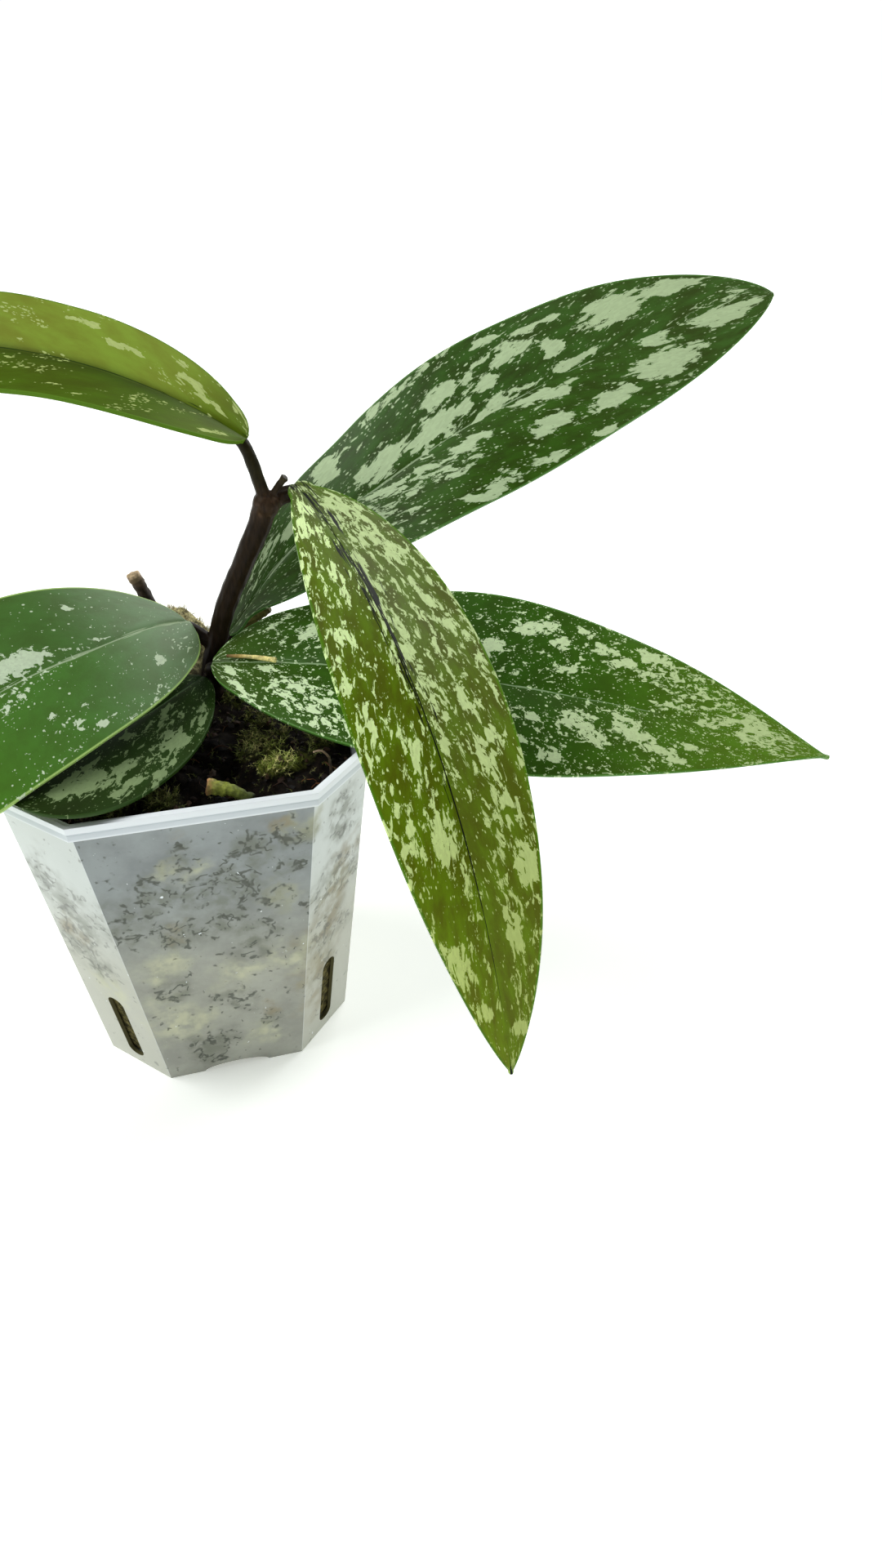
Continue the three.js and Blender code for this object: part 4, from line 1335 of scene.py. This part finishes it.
@dataclass
class SoilBed:
    """The soil with moss grown over it, inside the pot."""

    pot: NurseryPot
    wall_gap: float = 0.35
    bottom: float = 3.3
    level: float = 72.0
    front_dip: float = 1.2
    earth: str = "#140e08"
    moss: str = "#3c4016"
    # The mound's dry moss: pale, and painted paler still as painted light where the mound lies in shade.
    dry_moss_painted_lighter: str = "#d6cc9c"
    behind_wall: str = "#5c5632"
    # The mound: x and y of its middle, height, radius, and how much wider it is than deep.
    mound: tuple[float, float, float, float, float] = (-4.0, 28.5, 17.5, 10.5, 1.38)
    # Gentle waves: height, turns per mm along x and y, and start.
    waves: tuple[tuple[float, float, float, float], ...] = (
        (0.6, 0.42, 0.37, 1.1), (0.42, 0.83, -0.71, 2.0), (0.28, 0.9, 1.21, 1.6)
    )
    # Moss cushions: x, y, radius and how bright their green is; above 1 is painted light on the front
    # cushions that lie in the leaves' shade.
    cushions: tuple[tuple[float, float, float, float], ...] = (
        (15.6, -14.6, 2.9, 3.2), (19.2, -12.9, 2.3, 3.2), (13.3, -3.8, 2.6, 1.0), (16.4, -7.6, 2.0, 1.5),
        (11.5, -9.0, 2.6, 0.7), (13.9, 4.2, 1.8, 1.1), (16.0, 1.4, 1.9, 0.8), (10.0, 12.3, 2.6, 0.9),
        (27.0, -7.7, 2.6, 1.5), (-6.3, -20.3, 3.4, 0.9), (22.5, -12.0, 2.0, 0.8), (18.0, -4.5, 2.0, 0.8),
        (-20.0, 16.0, 4.5, 0.9), (20.0, 20.0, 4.0, 0.9), (-24.0, -2.0, 4.2, 0.8), (27.0, 8.0, 3.2, 0.8),
        (-16.0, -20.0, 4.0, 0.8), (4.0, 26.0, 3.4, 0.9), (-12.0, -5.0, 3.0, 0.7),
    )

    def on_mound(self, x: np.ndarray, y: np.ndarray) -> np.ndarray:
        """Returns how far up the mound each place is, 1 at its top."""
        middle_x, middle_y, _, spread, stretch = self.mound
        return np.exp(-(np.hypot((x - middle_x) / stretch, y - middle_y) / spread) ** 2)

    def height_at(self, x: np.ndarray, y: np.ndarray) -> np.ndarray:
        """Works out the soil's height, as its solid has it.

        Args:
            x: Places across, in millimetres.
            y: Places from front to back.

        Returns:
            The height at each place, in millimetres.
        """
        dip = self.front_dip * np.clip(-y / self.pot.top_half, 0, 1)
        uneven = sum(h * np.sin(ax * x + ay * y + start) for h, ax, ay, start in self.waves)
        return self.level - dip + self.mound[2] * self.on_mound(x, y) + uneven

    def half(self, z: np.ndarray) -> np.ndarray:
        """Returns half the soil's width at a height."""
        return self.pot.wall_half(np.minimum(z, self.pot.height)) - self.pot.wall - self.wall_gap

    def surface(self, x: np.ndarray, y: np.ndarray) -> tuple[np.ndarray, np.ndarray]:
        """Shapes the surface with its moss cushions.

        Args:
            x: Places across, in millimetres.
            y: Places from front to back.

        Returns:
            The height at each place, and how mossy it is: 0 for bare soil, 1 for moss, above 1 for moss with
            painted light.
        """
        moss, lift = np.zeros((2, len(x)))
        for middle_x, middle_y, radius, green in self.cushions:
            away = ((x - middle_x) ** 2 + (y - middle_y) ** 2) / (radius * 1.15) ** 2
            inside = np.clip(1 - away, 0, 1)
            lift = np.maximum(lift, radius * 0.62 * np.sqrt(inside))
            moss = np.maximum(moss, green * smoothstep(inside, 0.0, 0.5))
        moss = np.maximum(moss, 0.75 * smoothstep(self.on_mound(x, y), 0.25, 0.6))
        plane = np.column_stack([x, y])
        z = self.height_at(x, y) + lift
        return z + 0.55 * rough_height(plane, 2.2, 3.0) + 0.3 * rough_height(plane, 0.9, 9.0), moss

    def build(self) -> None:
        """Shapes the bed from a grid, with sides down to the pot's floor."""
        bpy.ops.mesh.primitive_grid_add(x_subdivisions=120, y_subdivisions=120, size=2)
        piece = made("soil_bed")
        flat = coordinates(piece)
        far = np.abs(flat[:, :2]).max(1)
        total = np.abs(flat[:, :2]).sum(1)
        taken = self.pot.corner_leg(self.pot.top_half - self.pot.wall, self.level) / self.pot.top_half
        clip = np.minimum(1, (2 - taken) * far / np.maximum(total, 1e-9))
        x, y = flat[:, 0] * clip, flat[:, 1] * clip
        z = np.full(len(x), self.level)
        for _ in range(3):
            z = self.height_at(x * self.half(z), y * self.half(z))
        size = self.half(z)
        z, moss = self.surface(x * size, y * size)
        move_points(piece, np.stack([x * size, y * size, z], 1) * MM)
        cover = np.minimum(moss, 1)[:, None]
        tone = np.array(linear(self.earth)) * (1 - cover)
        # Moss above 1 is brighter than its own colour: painted light.
        tone += np.array(linear(self.moss)) * cover * np.maximum(moss, 1)[:, None]
        # High on the mound the tone turns to the dry moss, partly painted light.
        store(piece, "tone", toward(tone, self.dry_moss_painted_lighter, smoothstep(z, self.level + 4, self.level + 8)))
        drop = 200 * MM
        edit(
            partial(bpy.ops.mesh.select_all, action="SELECT"),
            bpy.ops.mesh.region_to_loop,
            partial(bpy.ops.mesh.extrude_edges_move, TRANSFORM_OT_translate={"value": (0, 0, -drop)}),
            bpy.ops.mesh.edge_face_add,
        )
        points = coordinates(piece)
        low = points[:, 2] < 0
        foot = self.half(np.array([self.bottom]))[0]
        points[low, :2] *= (foot / self.half((points[low, 2] + drop) / MM))[:, None]
        limit = (2 * foot - self.pot.corner_leg(foot, self.bottom)) * MM
        points[low, :2] *= np.minimum(1, limit / np.abs(points[low, :2]).sum(1))[:, None]
        points[low, 2] = self.bottom * MM
        move_points(piece, points)
        face_outwards(piece)
        # Nearly black between the cushions and paler low down, where it is seen through the slots.
        soil = Toned(
            "damp_bark_soil", roughness=0.85, specular=0.12, grain=1.4, detail=5.0, ragged=0.68,
            shades=(0.38, 0.66, 0.25, 1.6), bumps=(0.6, 0.4), low=(self.behind_wall, 66, 50),
        )
        finish_piece(piece, "soil_and_moss", soil.build(), "substrate")


@dataclass
class Litter:
    """Moss sprigs, crumbs of bark and fine roots on the soil."""

    bed: SoilBed
    seed: int = 11
    sprigs: int = 4400
    crumbs: int = 420
    rootlets: int = 90
    # Half the width that litter falls in, in mm, and how much of a corner it leaves free.
    reach: float = 31.6
    corner: float = 1.58
    greens: tuple[str, ...] = ("#6d7838", "#525c24", "#8e9458", "#3c4018", "#9c9862")
    # The dry sprigs high on the mound: pale, and painted paler still as painted light where the mound lies
    # in shade.
    dry_green_painted_lighter: str = "#e6dcae"
    browns: tuple[str, ...] = ("#120c08", "#1f130c", "#0a0706", "#2e1c10", "#19120d", "#3d2b1c")
    root_browns: tuple[str, ...] = ("#3d2415", "#2a1a10", "#5a3a22", "#70492b")
    # How likely a sprig is on bare soil, the sizes of sprigs, and those of the dry ones high on the mound.
    stray_moss: float = 0.06
    sprig_sizes: tuple[float, float] = (0.3, 0.75)
    dry_sizes: tuple[float, float] = (0.25, 0.5)
    # How far above the soil's level the mound is dry, and how far up crumbs lie, in mm.
    dry_from: float = 5.0
    crumbs_to: float = 4.0
    # A sprig's and its leaves' sizes in mm: height, lower and upper radius, leaf radius and length.
    sprig_tall: float = 3.0
    stalk: tuple[float, float] = (0.11, 0.04)
    leaf: tuple[float, float] = (0.13, 1.2)

    def __post_init__(self) -> None:
        """Starts the repeatable draw."""
        self.draw: np.random.Generator = np.random.default_rng(self.seed)

    def spots(self, count: int) -> np.ndarray:
        """Draws places over the soil.

        Args:
            count: How many.

        Returns:
            Rows of x and y inside the pot.
        """
        rows = []
        while len(rows) < count:
            x, y = self.draw.uniform(-1, 1, 2)
            if abs(x) + abs(y) < self.corner:
                rows.append((x * self.reach, y * self.reach))
        return np.array(rows)

    def place(self, x: float, y: float, z: float, tilt: float, size: float) -> Matrix:
        """Places a copy with a drawn turn.

        Args:
            x: Its place to the right, in mm.
            y: Its place to the back.
            z: Its height.
            tilt: How far it leans, in radians.
            size: Its size as a share of the model's.

        Returns:
            The copy's place.
        """
        turn = Matrix.Rotation(self.draw.uniform(0, 2 * math.pi), 4, "Z")
        lean = Matrix.Rotation(tilt, 4, "X")
        return Matrix.Translation((x * MM, y * MM, z * MM)) @ turn @ lean @ Matrix.Scale(size, 4)

    def color(self, hexes: tuple[str, ...]) -> Color:
        """Draws one of some colours."""
        return linear(hexes[int(self.draw.integers(len(hexes)))])

    def sprig_model(self) -> Piece:
        """Models one moss sprig.

        Returns:
            A bent stalk with small leaves, 3 mm tall.
        """
        tall = self.sprig_tall * MM
        bpy.ops.mesh.primitive_cone_add(
            vertices=3, radius1=self.stalk[0] * MM, radius2=self.stalk[1] * MM, depth=tall,
            location=(0, 0, tall / 2),
        )
        parts = [made("stalk")]
        for k in range(7):
            width, length = self.leaf
            bpy.ops.mesh.primitive_cone_add(vertices=3, radius1=width * MM, radius2=0.0, depth=length * MM)
            leaf = made("sprig_leaf")
            leaf.data.transform(
                Matrix.Translation((0, 0, (0.7 + 0.36 * k) * MM)) @ Matrix.Rotation(k * 2.4, 4, "Z")
                @ Matrix.Rotation(0.95, 4, "X") @ Matrix.Translation((0, 0, 0.5 * MM))
            )
            parts.append(leaf)
        model = joined("sprig", parts)
        points = coordinates(model)
        points[:, 0] += 0.9 * MM * (points[:, 2] / tall) ** 2
        move_points(model, points)
        return model

    def build_moss(self) -> None:
        """Scatters sprigs over the cushions, the mound and thinly elsewhere."""
        places, tones = [], []
        drawn = self.spots(self.sprigs * 3)
        heights, moss = self.bed.surface(drawn[:, 0], drawn[:, 1])
        for (x, y), z, green in zip(drawn, heights, moss):
            if len(places) == self.sprigs or self.draw.uniform() > self.stray_moss + green:
                continue
            high = z > self.bed.level + self.dry_from
            size = self.draw.uniform(*self.dry_sizes if high else self.sprig_sizes)
            places.append(self.place(x, y, z - 0.3, self.draw.uniform(0.2, 1.3), size))
            # Sprigs on cushions with painted light are painted brighter too.
            lit = 0.6 + 0.75 * green
            tone = tuple(min(c * lit, 1) for c in self.color(self.greens))
            tones.append(linear(self.dry_green_painted_lighter) if high else tone)
        sprigs = copies("moss_sprigs", self.sprig_model(), places, tones, 0.35)
        # Its fine leaves scatter light: it looks soft and has no shine.
        moss = Toned("moss", roughness=0.8, specular=0.2, grain=0.8)
        finish_piece(sprigs, "soil_and_moss", moss.build(), angle=0)

    def build_crumbs(self) -> None:
        """Scatters flattened crumbs of bark."""
        bpy.ops.mesh.primitive_ico_sphere_add(subdivisions=1, radius=1 * MM)
        model = made("crumb")
        points = coordinates(model)
        points *= np.array([1.3, 0.8, 0.5]) * (1 + 0.25 * rough_height(points / MM, 0.7, 2.0))[:, None]
        move_points(model, points)
        places, tones = [], []
        drawn = self.spots(self.crumbs)
        for (x, y), z in zip(drawn, self.bed.surface(drawn[:, 0], drawn[:, 1])[0]):
            if z > self.bed.level + self.crumbs_to:
                continue
            size = 0.45 + 0.9 * self.draw.uniform() ** 2
            places.append(self.place(x, y, z, self.draw.uniform(-0.7, 0.7), size))
            tones.append(self.color(self.browns))
        piece = copies("bark_crumbs", model, places, tones, 1.0)
        # Composted and damp: nearly black, with a dull sheen on each crumb's faces.
        bark = Toned("wet_bark", roughness=0.7, specular=0.25, grain=0.9)
        finish_piece(piece, "soil_and_moss", bark.build(), angle=0)

    def build_rootlets(self) -> None:
        """Scatters thin curved roots, a little further from the walls."""
        path = smooth_path(
            [(0, 0, -0.6), (1.2, 0.4, 0.7), (2.8, -0.3, 0.9), (4.2, 0.5, 0.2), (5.0, 0.2, -0.7)], 2
        )
        model = tube("rootlet", path, np.full(len(path), 0.13), 0)
        places, tones = [], []
        drawn = self.spots(self.rootlets) * 0.88
        for (x, y), z in zip(drawn, self.bed.surface(drawn[:, 0], drawn[:, 1])[0]):
            places.append(self.place(x, y, z, self.draw.uniform(-0.3, 0.3), self.draw.uniform(0.6, 1.1)))
            tones.append(self.color(self.root_browns))
        piece = copies("rootlets", model, places, tones, 1.0)
        # Corky skin: dull, and paler and darker along each root.
        skin = Toned("fine_roots", roughness=0.7, specular=0.2, grain=1.0)
        finish_piece(piece, "soil_and_moss", skin.build(), angle=0)


@dataclass
class MainStem:
    """The dark stem with its petioles, nodes and cut side shoot, grown as one."""

    path: tuple[Point, ...] = (
        (6.6, 15.5, 58), (6.4, 15, 68), (6.0, 13, 76), (6.4, 11.7, 82), (8.6, 11.5, 88), (11.3, 11.2, 96),
        (15.6, 10.8, 105), (19.3, 10.3, 112.5), (21.1, 10, 117.8),
    )
    radius: float = 2.15
    # The swollen nodes: middle, radius and the colour of their scars.
    nodes: tuple[tuple[Point, float, str], ...] = (
        ((21.1, 10, 116.9), 2.7, "#5f4a39"), ((6.1, 13, 76), 2.9, "#42342a")
    )
    petioles: tuple[tuple[str, tuple[Point, ...], float], ...] = (
        ("leaf_top_left", ((21, 10, 117), (20.2, 10.4, 121.5)), 1.35),
        ("leaf_front", ((21, 10.2, 115.4), (23.6, 11.8, 117.4)), 1.8),
        ("leaf_back_right", ((6.1, 13.4, 76), (8.4, 17.6, 79)), 1.6),
        ("leaf_right", ((6.1, 12.6, 76.4), (7.6, 10, 80.5), (6.8, 8, 83.5)), 1.6),
        ("leaf_left", ((8, 11.6, 85.6), (7, 12.1, 88)), 1.6),
        ("leaf_lower_left", ((6.1, 12.8, 76.4), (6.4, 10.8, 79.6)), 1.5),
    )
    shoot: tuple[Point, ...] = ((21.6, 9.9, 117.5), (23.6, 9.4, 120.6), (25.1, 9, 122.4))
    shoot_radius: float = 0.72
    voxel: float = 0.26
    bark: str = "#251a0e"
    low_bark: str = "#140c09"
    cut: str = "#4a4030"
    green: str = "#22200a"

    def ball(self, center: Point, radius: float) -> Piece:
        """Makes one swelling.

        Args:
            center: Its middle, in mm.
            radius: Its radius.

        Returns:
            The swelling.
        """
        bpy.ops.mesh.primitive_ico_sphere_add(
            subdivisions=3, radius=radius * MM, location=tuple(c * MM for c in center)
        )
        return made("swelling")

    def build(self) -> None:
        """Joins the tubes, fuses them and gives them bark."""
        path = smooth_path(self.path, 8)
        height = path[:, 2]
        taper = self.radius * (0.84 + 0.16 * smoothstep(height, 78, 96) + 0.1 * smoothstep(height, 104, 115))
        parts = [tube("stem_run", path, taper)]
        parts += [self.ball(center, radius) for center, radius, _ in self.nodes]
        blades = {leaf.node: leaf.shape for leaf in LEAVES}
        for name, points, radius in self.petioles:
            # The petiole goes on a little way under the blade.
            midrib, _, up = blades[name].spine(np.linspace(0, 1, 101))
            under = midrib[0] - 0.85 * radius * up[0], midrib[3] - (0.3 + 0.5 * radius) * up[3]
            line = smooth_path([*points, tuple(under[0]), tuple(under[1])], 6)
            share = np.linspace(0, 1, len(line))
            thick = radius * (1.06 - 0.1 * np.sin(np.pi * share)) * (1 - 0.5 * smoothstep(share, 0.6, 1))
            parts.append(tube(name + "_petiole", line, thick))
        line = smooth_path(self.shoot, 6)
        bulge = 1 + 0.35 * smoothstep(np.linspace(0, 1, len(line)), 0.7, 1)
        parts.append(tube("cut_shoot", line, self.shoot_radius * bulge))
        piece = joined("grown_stem", parts)
        modify(piece, "REMESH", mode="VOXEL", voxel_size=self.voxel * MM)
        modify(piece, "SMOOTH", factor=0.5, iterations=4)
        points = coordinates(piece)
        ridges = rough_height(points / MM * np.array([1, 1, 0.16]), 0.9, 0.0)
        knobs = rough_height(points / MM, 2.4, 0.0)
        points = push_out(piece, 0.07 * ridges + 0.12 * knobs)
        self.color(piece, points / MM)
        # Smooth and dully shining, with fibres 0.7 mm apart that run up the stem.
        bark = Toned(
            "young_hoya_bark", roughness=0.42, specular=0.11, grain=0.7, drawn_out=5,
            shades=(0.3, 0.7, 0.65, 1.35), bumps=(0.3, 0.2),
        )
        finish_piece(piece, "stem", bark.build(), "stem")

    def color(self, piece: Piece, points: np.ndarray) -> None:
        """Keeps the bark's colour on the mesh: purple-brown, paler node scars, black near the soil.

        Args:
            piece: The stem.
            points: Its points in millimetres.
        """
        height = points[:, 2]
        tone = toward(np.array(linear(self.bark)), self.low_bark, 1 - smoothstep(height, 78, 104))
        spots = 0.35 + 0.65 * smoothstep(rough_height(points, 1.1, 0.0), 0.1, 0.45)
        for center, radius, color in self.nodes:
            near = np.exp(-(np.linalg.norm(points - np.array(center), axis=1) / (radius * 1.15)) ** 4)
            tone = toward(tone, color, near * spots)
        tip = np.exp(-(np.linalg.norm(points - np.array(self.shoot[-1]), axis=1) / 1.6) ** 4)
        tone = toward(tone, self.cut, tip)
        store(piece, "tone", toward(tone, self.green, 0.8 * smoothstep(height, 118, 124)))


@dataclass(frozen=True)
class Stick:
    """One small dead piece: its path, radii and the colours from its start to its end."""

    node: str
    slot: str
    path: tuple[Point, ...]
    radii: tuple[float, float]
    colors: tuple[str, ...]
    lumps: float = 0.0
    material: str = "dead_wood"

    def build(self) -> None:
        """Makes the stick as a tube with uneven skin and its own colours."""
        line = smooth_path(self.path, 8)
        share = np.linspace(0, 1, len(line))
        piece = tube(self.node + "_fine", line, self.radii[0] + (self.radii[1] - self.radii[0]) * share)
        modify(piece, "SUBSURF", levels=1, render_levels=1)
        points = push_out(piece, self.lumps * rough_height(coordinates(piece) / MM, 0.9, 0.0)) / MM
        near = np.array([np.argmin(((line - p) ** 2).sum(1)) for p in points]) / (len(line) - 1)
        stops = np.array([linear(c) for c in self.colors])
        at = near * (len(stops) - 1)
        low = np.minimum(at.astype(int), len(stops) - 2)
        part = (at - low)[:, None]
        store(piece, "tone", stops[low] * (1 - part) + stops[low + 1] * part)
        # Wood, bark and straw alike are dry and fibrous here, so they shine dully and look mottled.
        skin = Toned(self.material, roughness=0.6, specular=0.3, grain=0.9)
        finish_piece(piece, self.slot, skin.build(), self.node)


def twig_path() -> tuple[Point, ...]:
    """Finds the dry twig's path.

    Returns:
        Points along the right leaf, on which the twig's solid lies.
    """
    shape = next(leaf.shape for leaf in LEAVES if leaf.node == "leaf_right")
    share = np.linspace(0.0, 0.109, 51)
    midrib, side, up = shape.spine(share)
    half = shape.half_width(share)
    fold = math.radians(shape.fold)
    across, lift = np.linspace(-0.15, 0.02, 51), shape.rib_half + 0.35 + 0.5
    rise = half * (np.abs(across) * math.sin(fold) - shape.cup * across ** 2) + lift
    line = midrib + (half * across * math.cos(fold))[:, None] * side + rise[:, None] * up
    return tuple(tuple(float(c) for c in line[k]) for k in (12, 22, 31, 41, 50))


STICKS: tuple[Stick, ...] = (
    Stick(
        "cut_stub", "dead_wood", ((-3.4, 27, 78), (-4, 27, 90), (-6.6, 27, 98.1)), (1.5, 1.5),
        ("#17110c", "#1c140e", "#241a12", "#2e2219", "#3f2f22", "#d6b996"), 0.3,
    ),
    # Its colours are paler than its own wood and moss: painted light where the leaves shade it.
    Stick(
        "mossy_stick", "mossy_wood", ((2.6, -21.6, 75.2), (6.5, -23, 74.6), (10.5, -24, 72.6)), (1.75, 0.9),
        ("#eab07a", "#8f9340", "#8a933a", "#6f7a2e", "#505a22", "#2c3214"), 0.5, "mossy_bark",
    ),
    Stick(
        "curled_root", "dead_wood",
        ((23.6, -17, 76.6), (25, -18, 77.4), (26.2, -18.8, 76.4), (26.6, -18.9, 74), (26.4, -18.6, 69)),
        (0.2, 0.3), ("#b8a284", "#806c52", "#514536", "#2a1f16"), 0.05,
    ),
    Stick(
        "moss_strand", "mossy_wood",
        ((11.5, 27, 74), (13.6, 26.6, 82.2), (17.1, 26.4, 84.7), (21.4, 26.2, 87.5)), (1.3, 1.1),
        ("#3c361a", "#66612f", "#706a36", "#544c28"), 0.35, "mossy_bark",
    ),
    Stick(
        "dry_twig", "dry_straw", twig_path(), (0.34, 0.58),
        ("#5a3a1e", "#a98f50", "#e2d48c", "#ecdc8e", "#e8de92"), 0.05, "dry_straw",
    ),
)


@dataclass
class Studio:
    """The pale floor, the soft lights and the camera."""

    focal_px: float = 1167.0
    frame_px: float = 1920.0
    sensor_mm: float = 36.0
    yaw: float = 16.51
    pitch: float = 36.42
    roll: float = 1.69
    spot: Point = (4.0, -172.3, 183.7)
    # The lights, so far off that they light the whole table alike: the direction from the plant, the
    # angle each fills in degrees, and its strength in watts to the square metre.
    lights: tuple[tuple[str, Point, float, float], ...] = (
        ("left_softbox", (-0.66, 0.1, 0.74), 45, 2.5), ("back_softbox", (0.63, 0.55, 0.6), 45, 1.9)
    )

    def camera(self) -> None:
        """Puts the camera where the photograph was taken from."""
        data = bpy.data.cameras.new("camera")
        data.sensor_width = self.sensor_mm
        data.lens = self.focal_px / self.frame_px * self.sensor_mm
        data.clip_start, data.clip_end = 0.01, 50.0
        camera = bpy.data.objects.new("camera", data)
        place = Matrix.Translation(Vector(self.spot) * MM)
        for angle, axis in ((-self.yaw, "Z"), (90 - self.pitch, "X"), (self.roll, "Z")):
            place = place @ Matrix.Rotation(math.radians(angle), 4, axis)
        camera.matrix_world = place
        bpy.context.scene.collection.objects.link(camera)
        bpy.context.scene.camera = camera

    def floor(self) -> None:
        """Lays a wide white table top, lit through from below, so that shadows on it are faint."""
        bpy.ops.mesh.primitive_circle_add(
            vertices=96, radius=12, fill_type="NGON", location=(0, 0, -0.02 * MM)
        )
        floor = made("table_top")
        material, _, shader = new_material("lit_white_acrylic", 0.7, 0.2)
        shader.inputs["Base Color"].default_value = linear("#f4f6f4")
        shader.inputs["Emission Color"].default_value = linear("#fbfff8")
        shader.inputs["Emission Strength"].default_value = 0.36
        floor.data.materials.append(material)

    def sky(self) -> None:
        """Surrounds the table with white walls, darker overhead."""
        world = bpy.data.worlds.new("studio")
        bpy.context.scene.world = world
        world.use_nodes = True
        add = partial(add_node, world.node_tree)
        up = add("SeparateXYZ", add("TexCoord", output="Generated"), output=2)
        shader = world.node_tree.nodes["Background"]
        connect(shader, {"Strength": add("MapRange", up, 0.08, 0.42, 1.05, 0.2, **SOFT)})
        shader.inputs["Color"].default_value = linear("#fbfdff")

    def build(self) -> None:
        """Sets up the whole studio."""
        self.camera()
        self.floor()
        self.sky()
        for name, aim, spread, strength in self.lights:
            data = bpy.data.lights.new(name, "SUN")
            data.angle, data.energy = math.radians(spread), strength
            lamp = bpy.data.objects.new(name, data)
            lamp.rotation_euler = Vector(aim).normalized().to_track_quat("Z", "Y").to_euler()
            bpy.context.scene.collection.objects.link(lamp)
        bpy.context.scene.view_settings.view_transform = "Standard"


def main() -> None:
    """Builds every piece in order."""
    logging.basicConfig(level=logging.INFO, format="%(message)s")
    Studio().build()
    pot = NurseryPot()
    pot.build()
    bed = SoilBed(pot)
    bed.build()
    litter = Litter(bed)
    litter.build_moss()
    litter.build_crumbs()
    litter.build_rootlets()
    for leaf in LEAVES:
        leaf.build()
    MainStem().build()
    for stick in STICKS:
        stick.build()


if __name__ == "__main__":
    main()
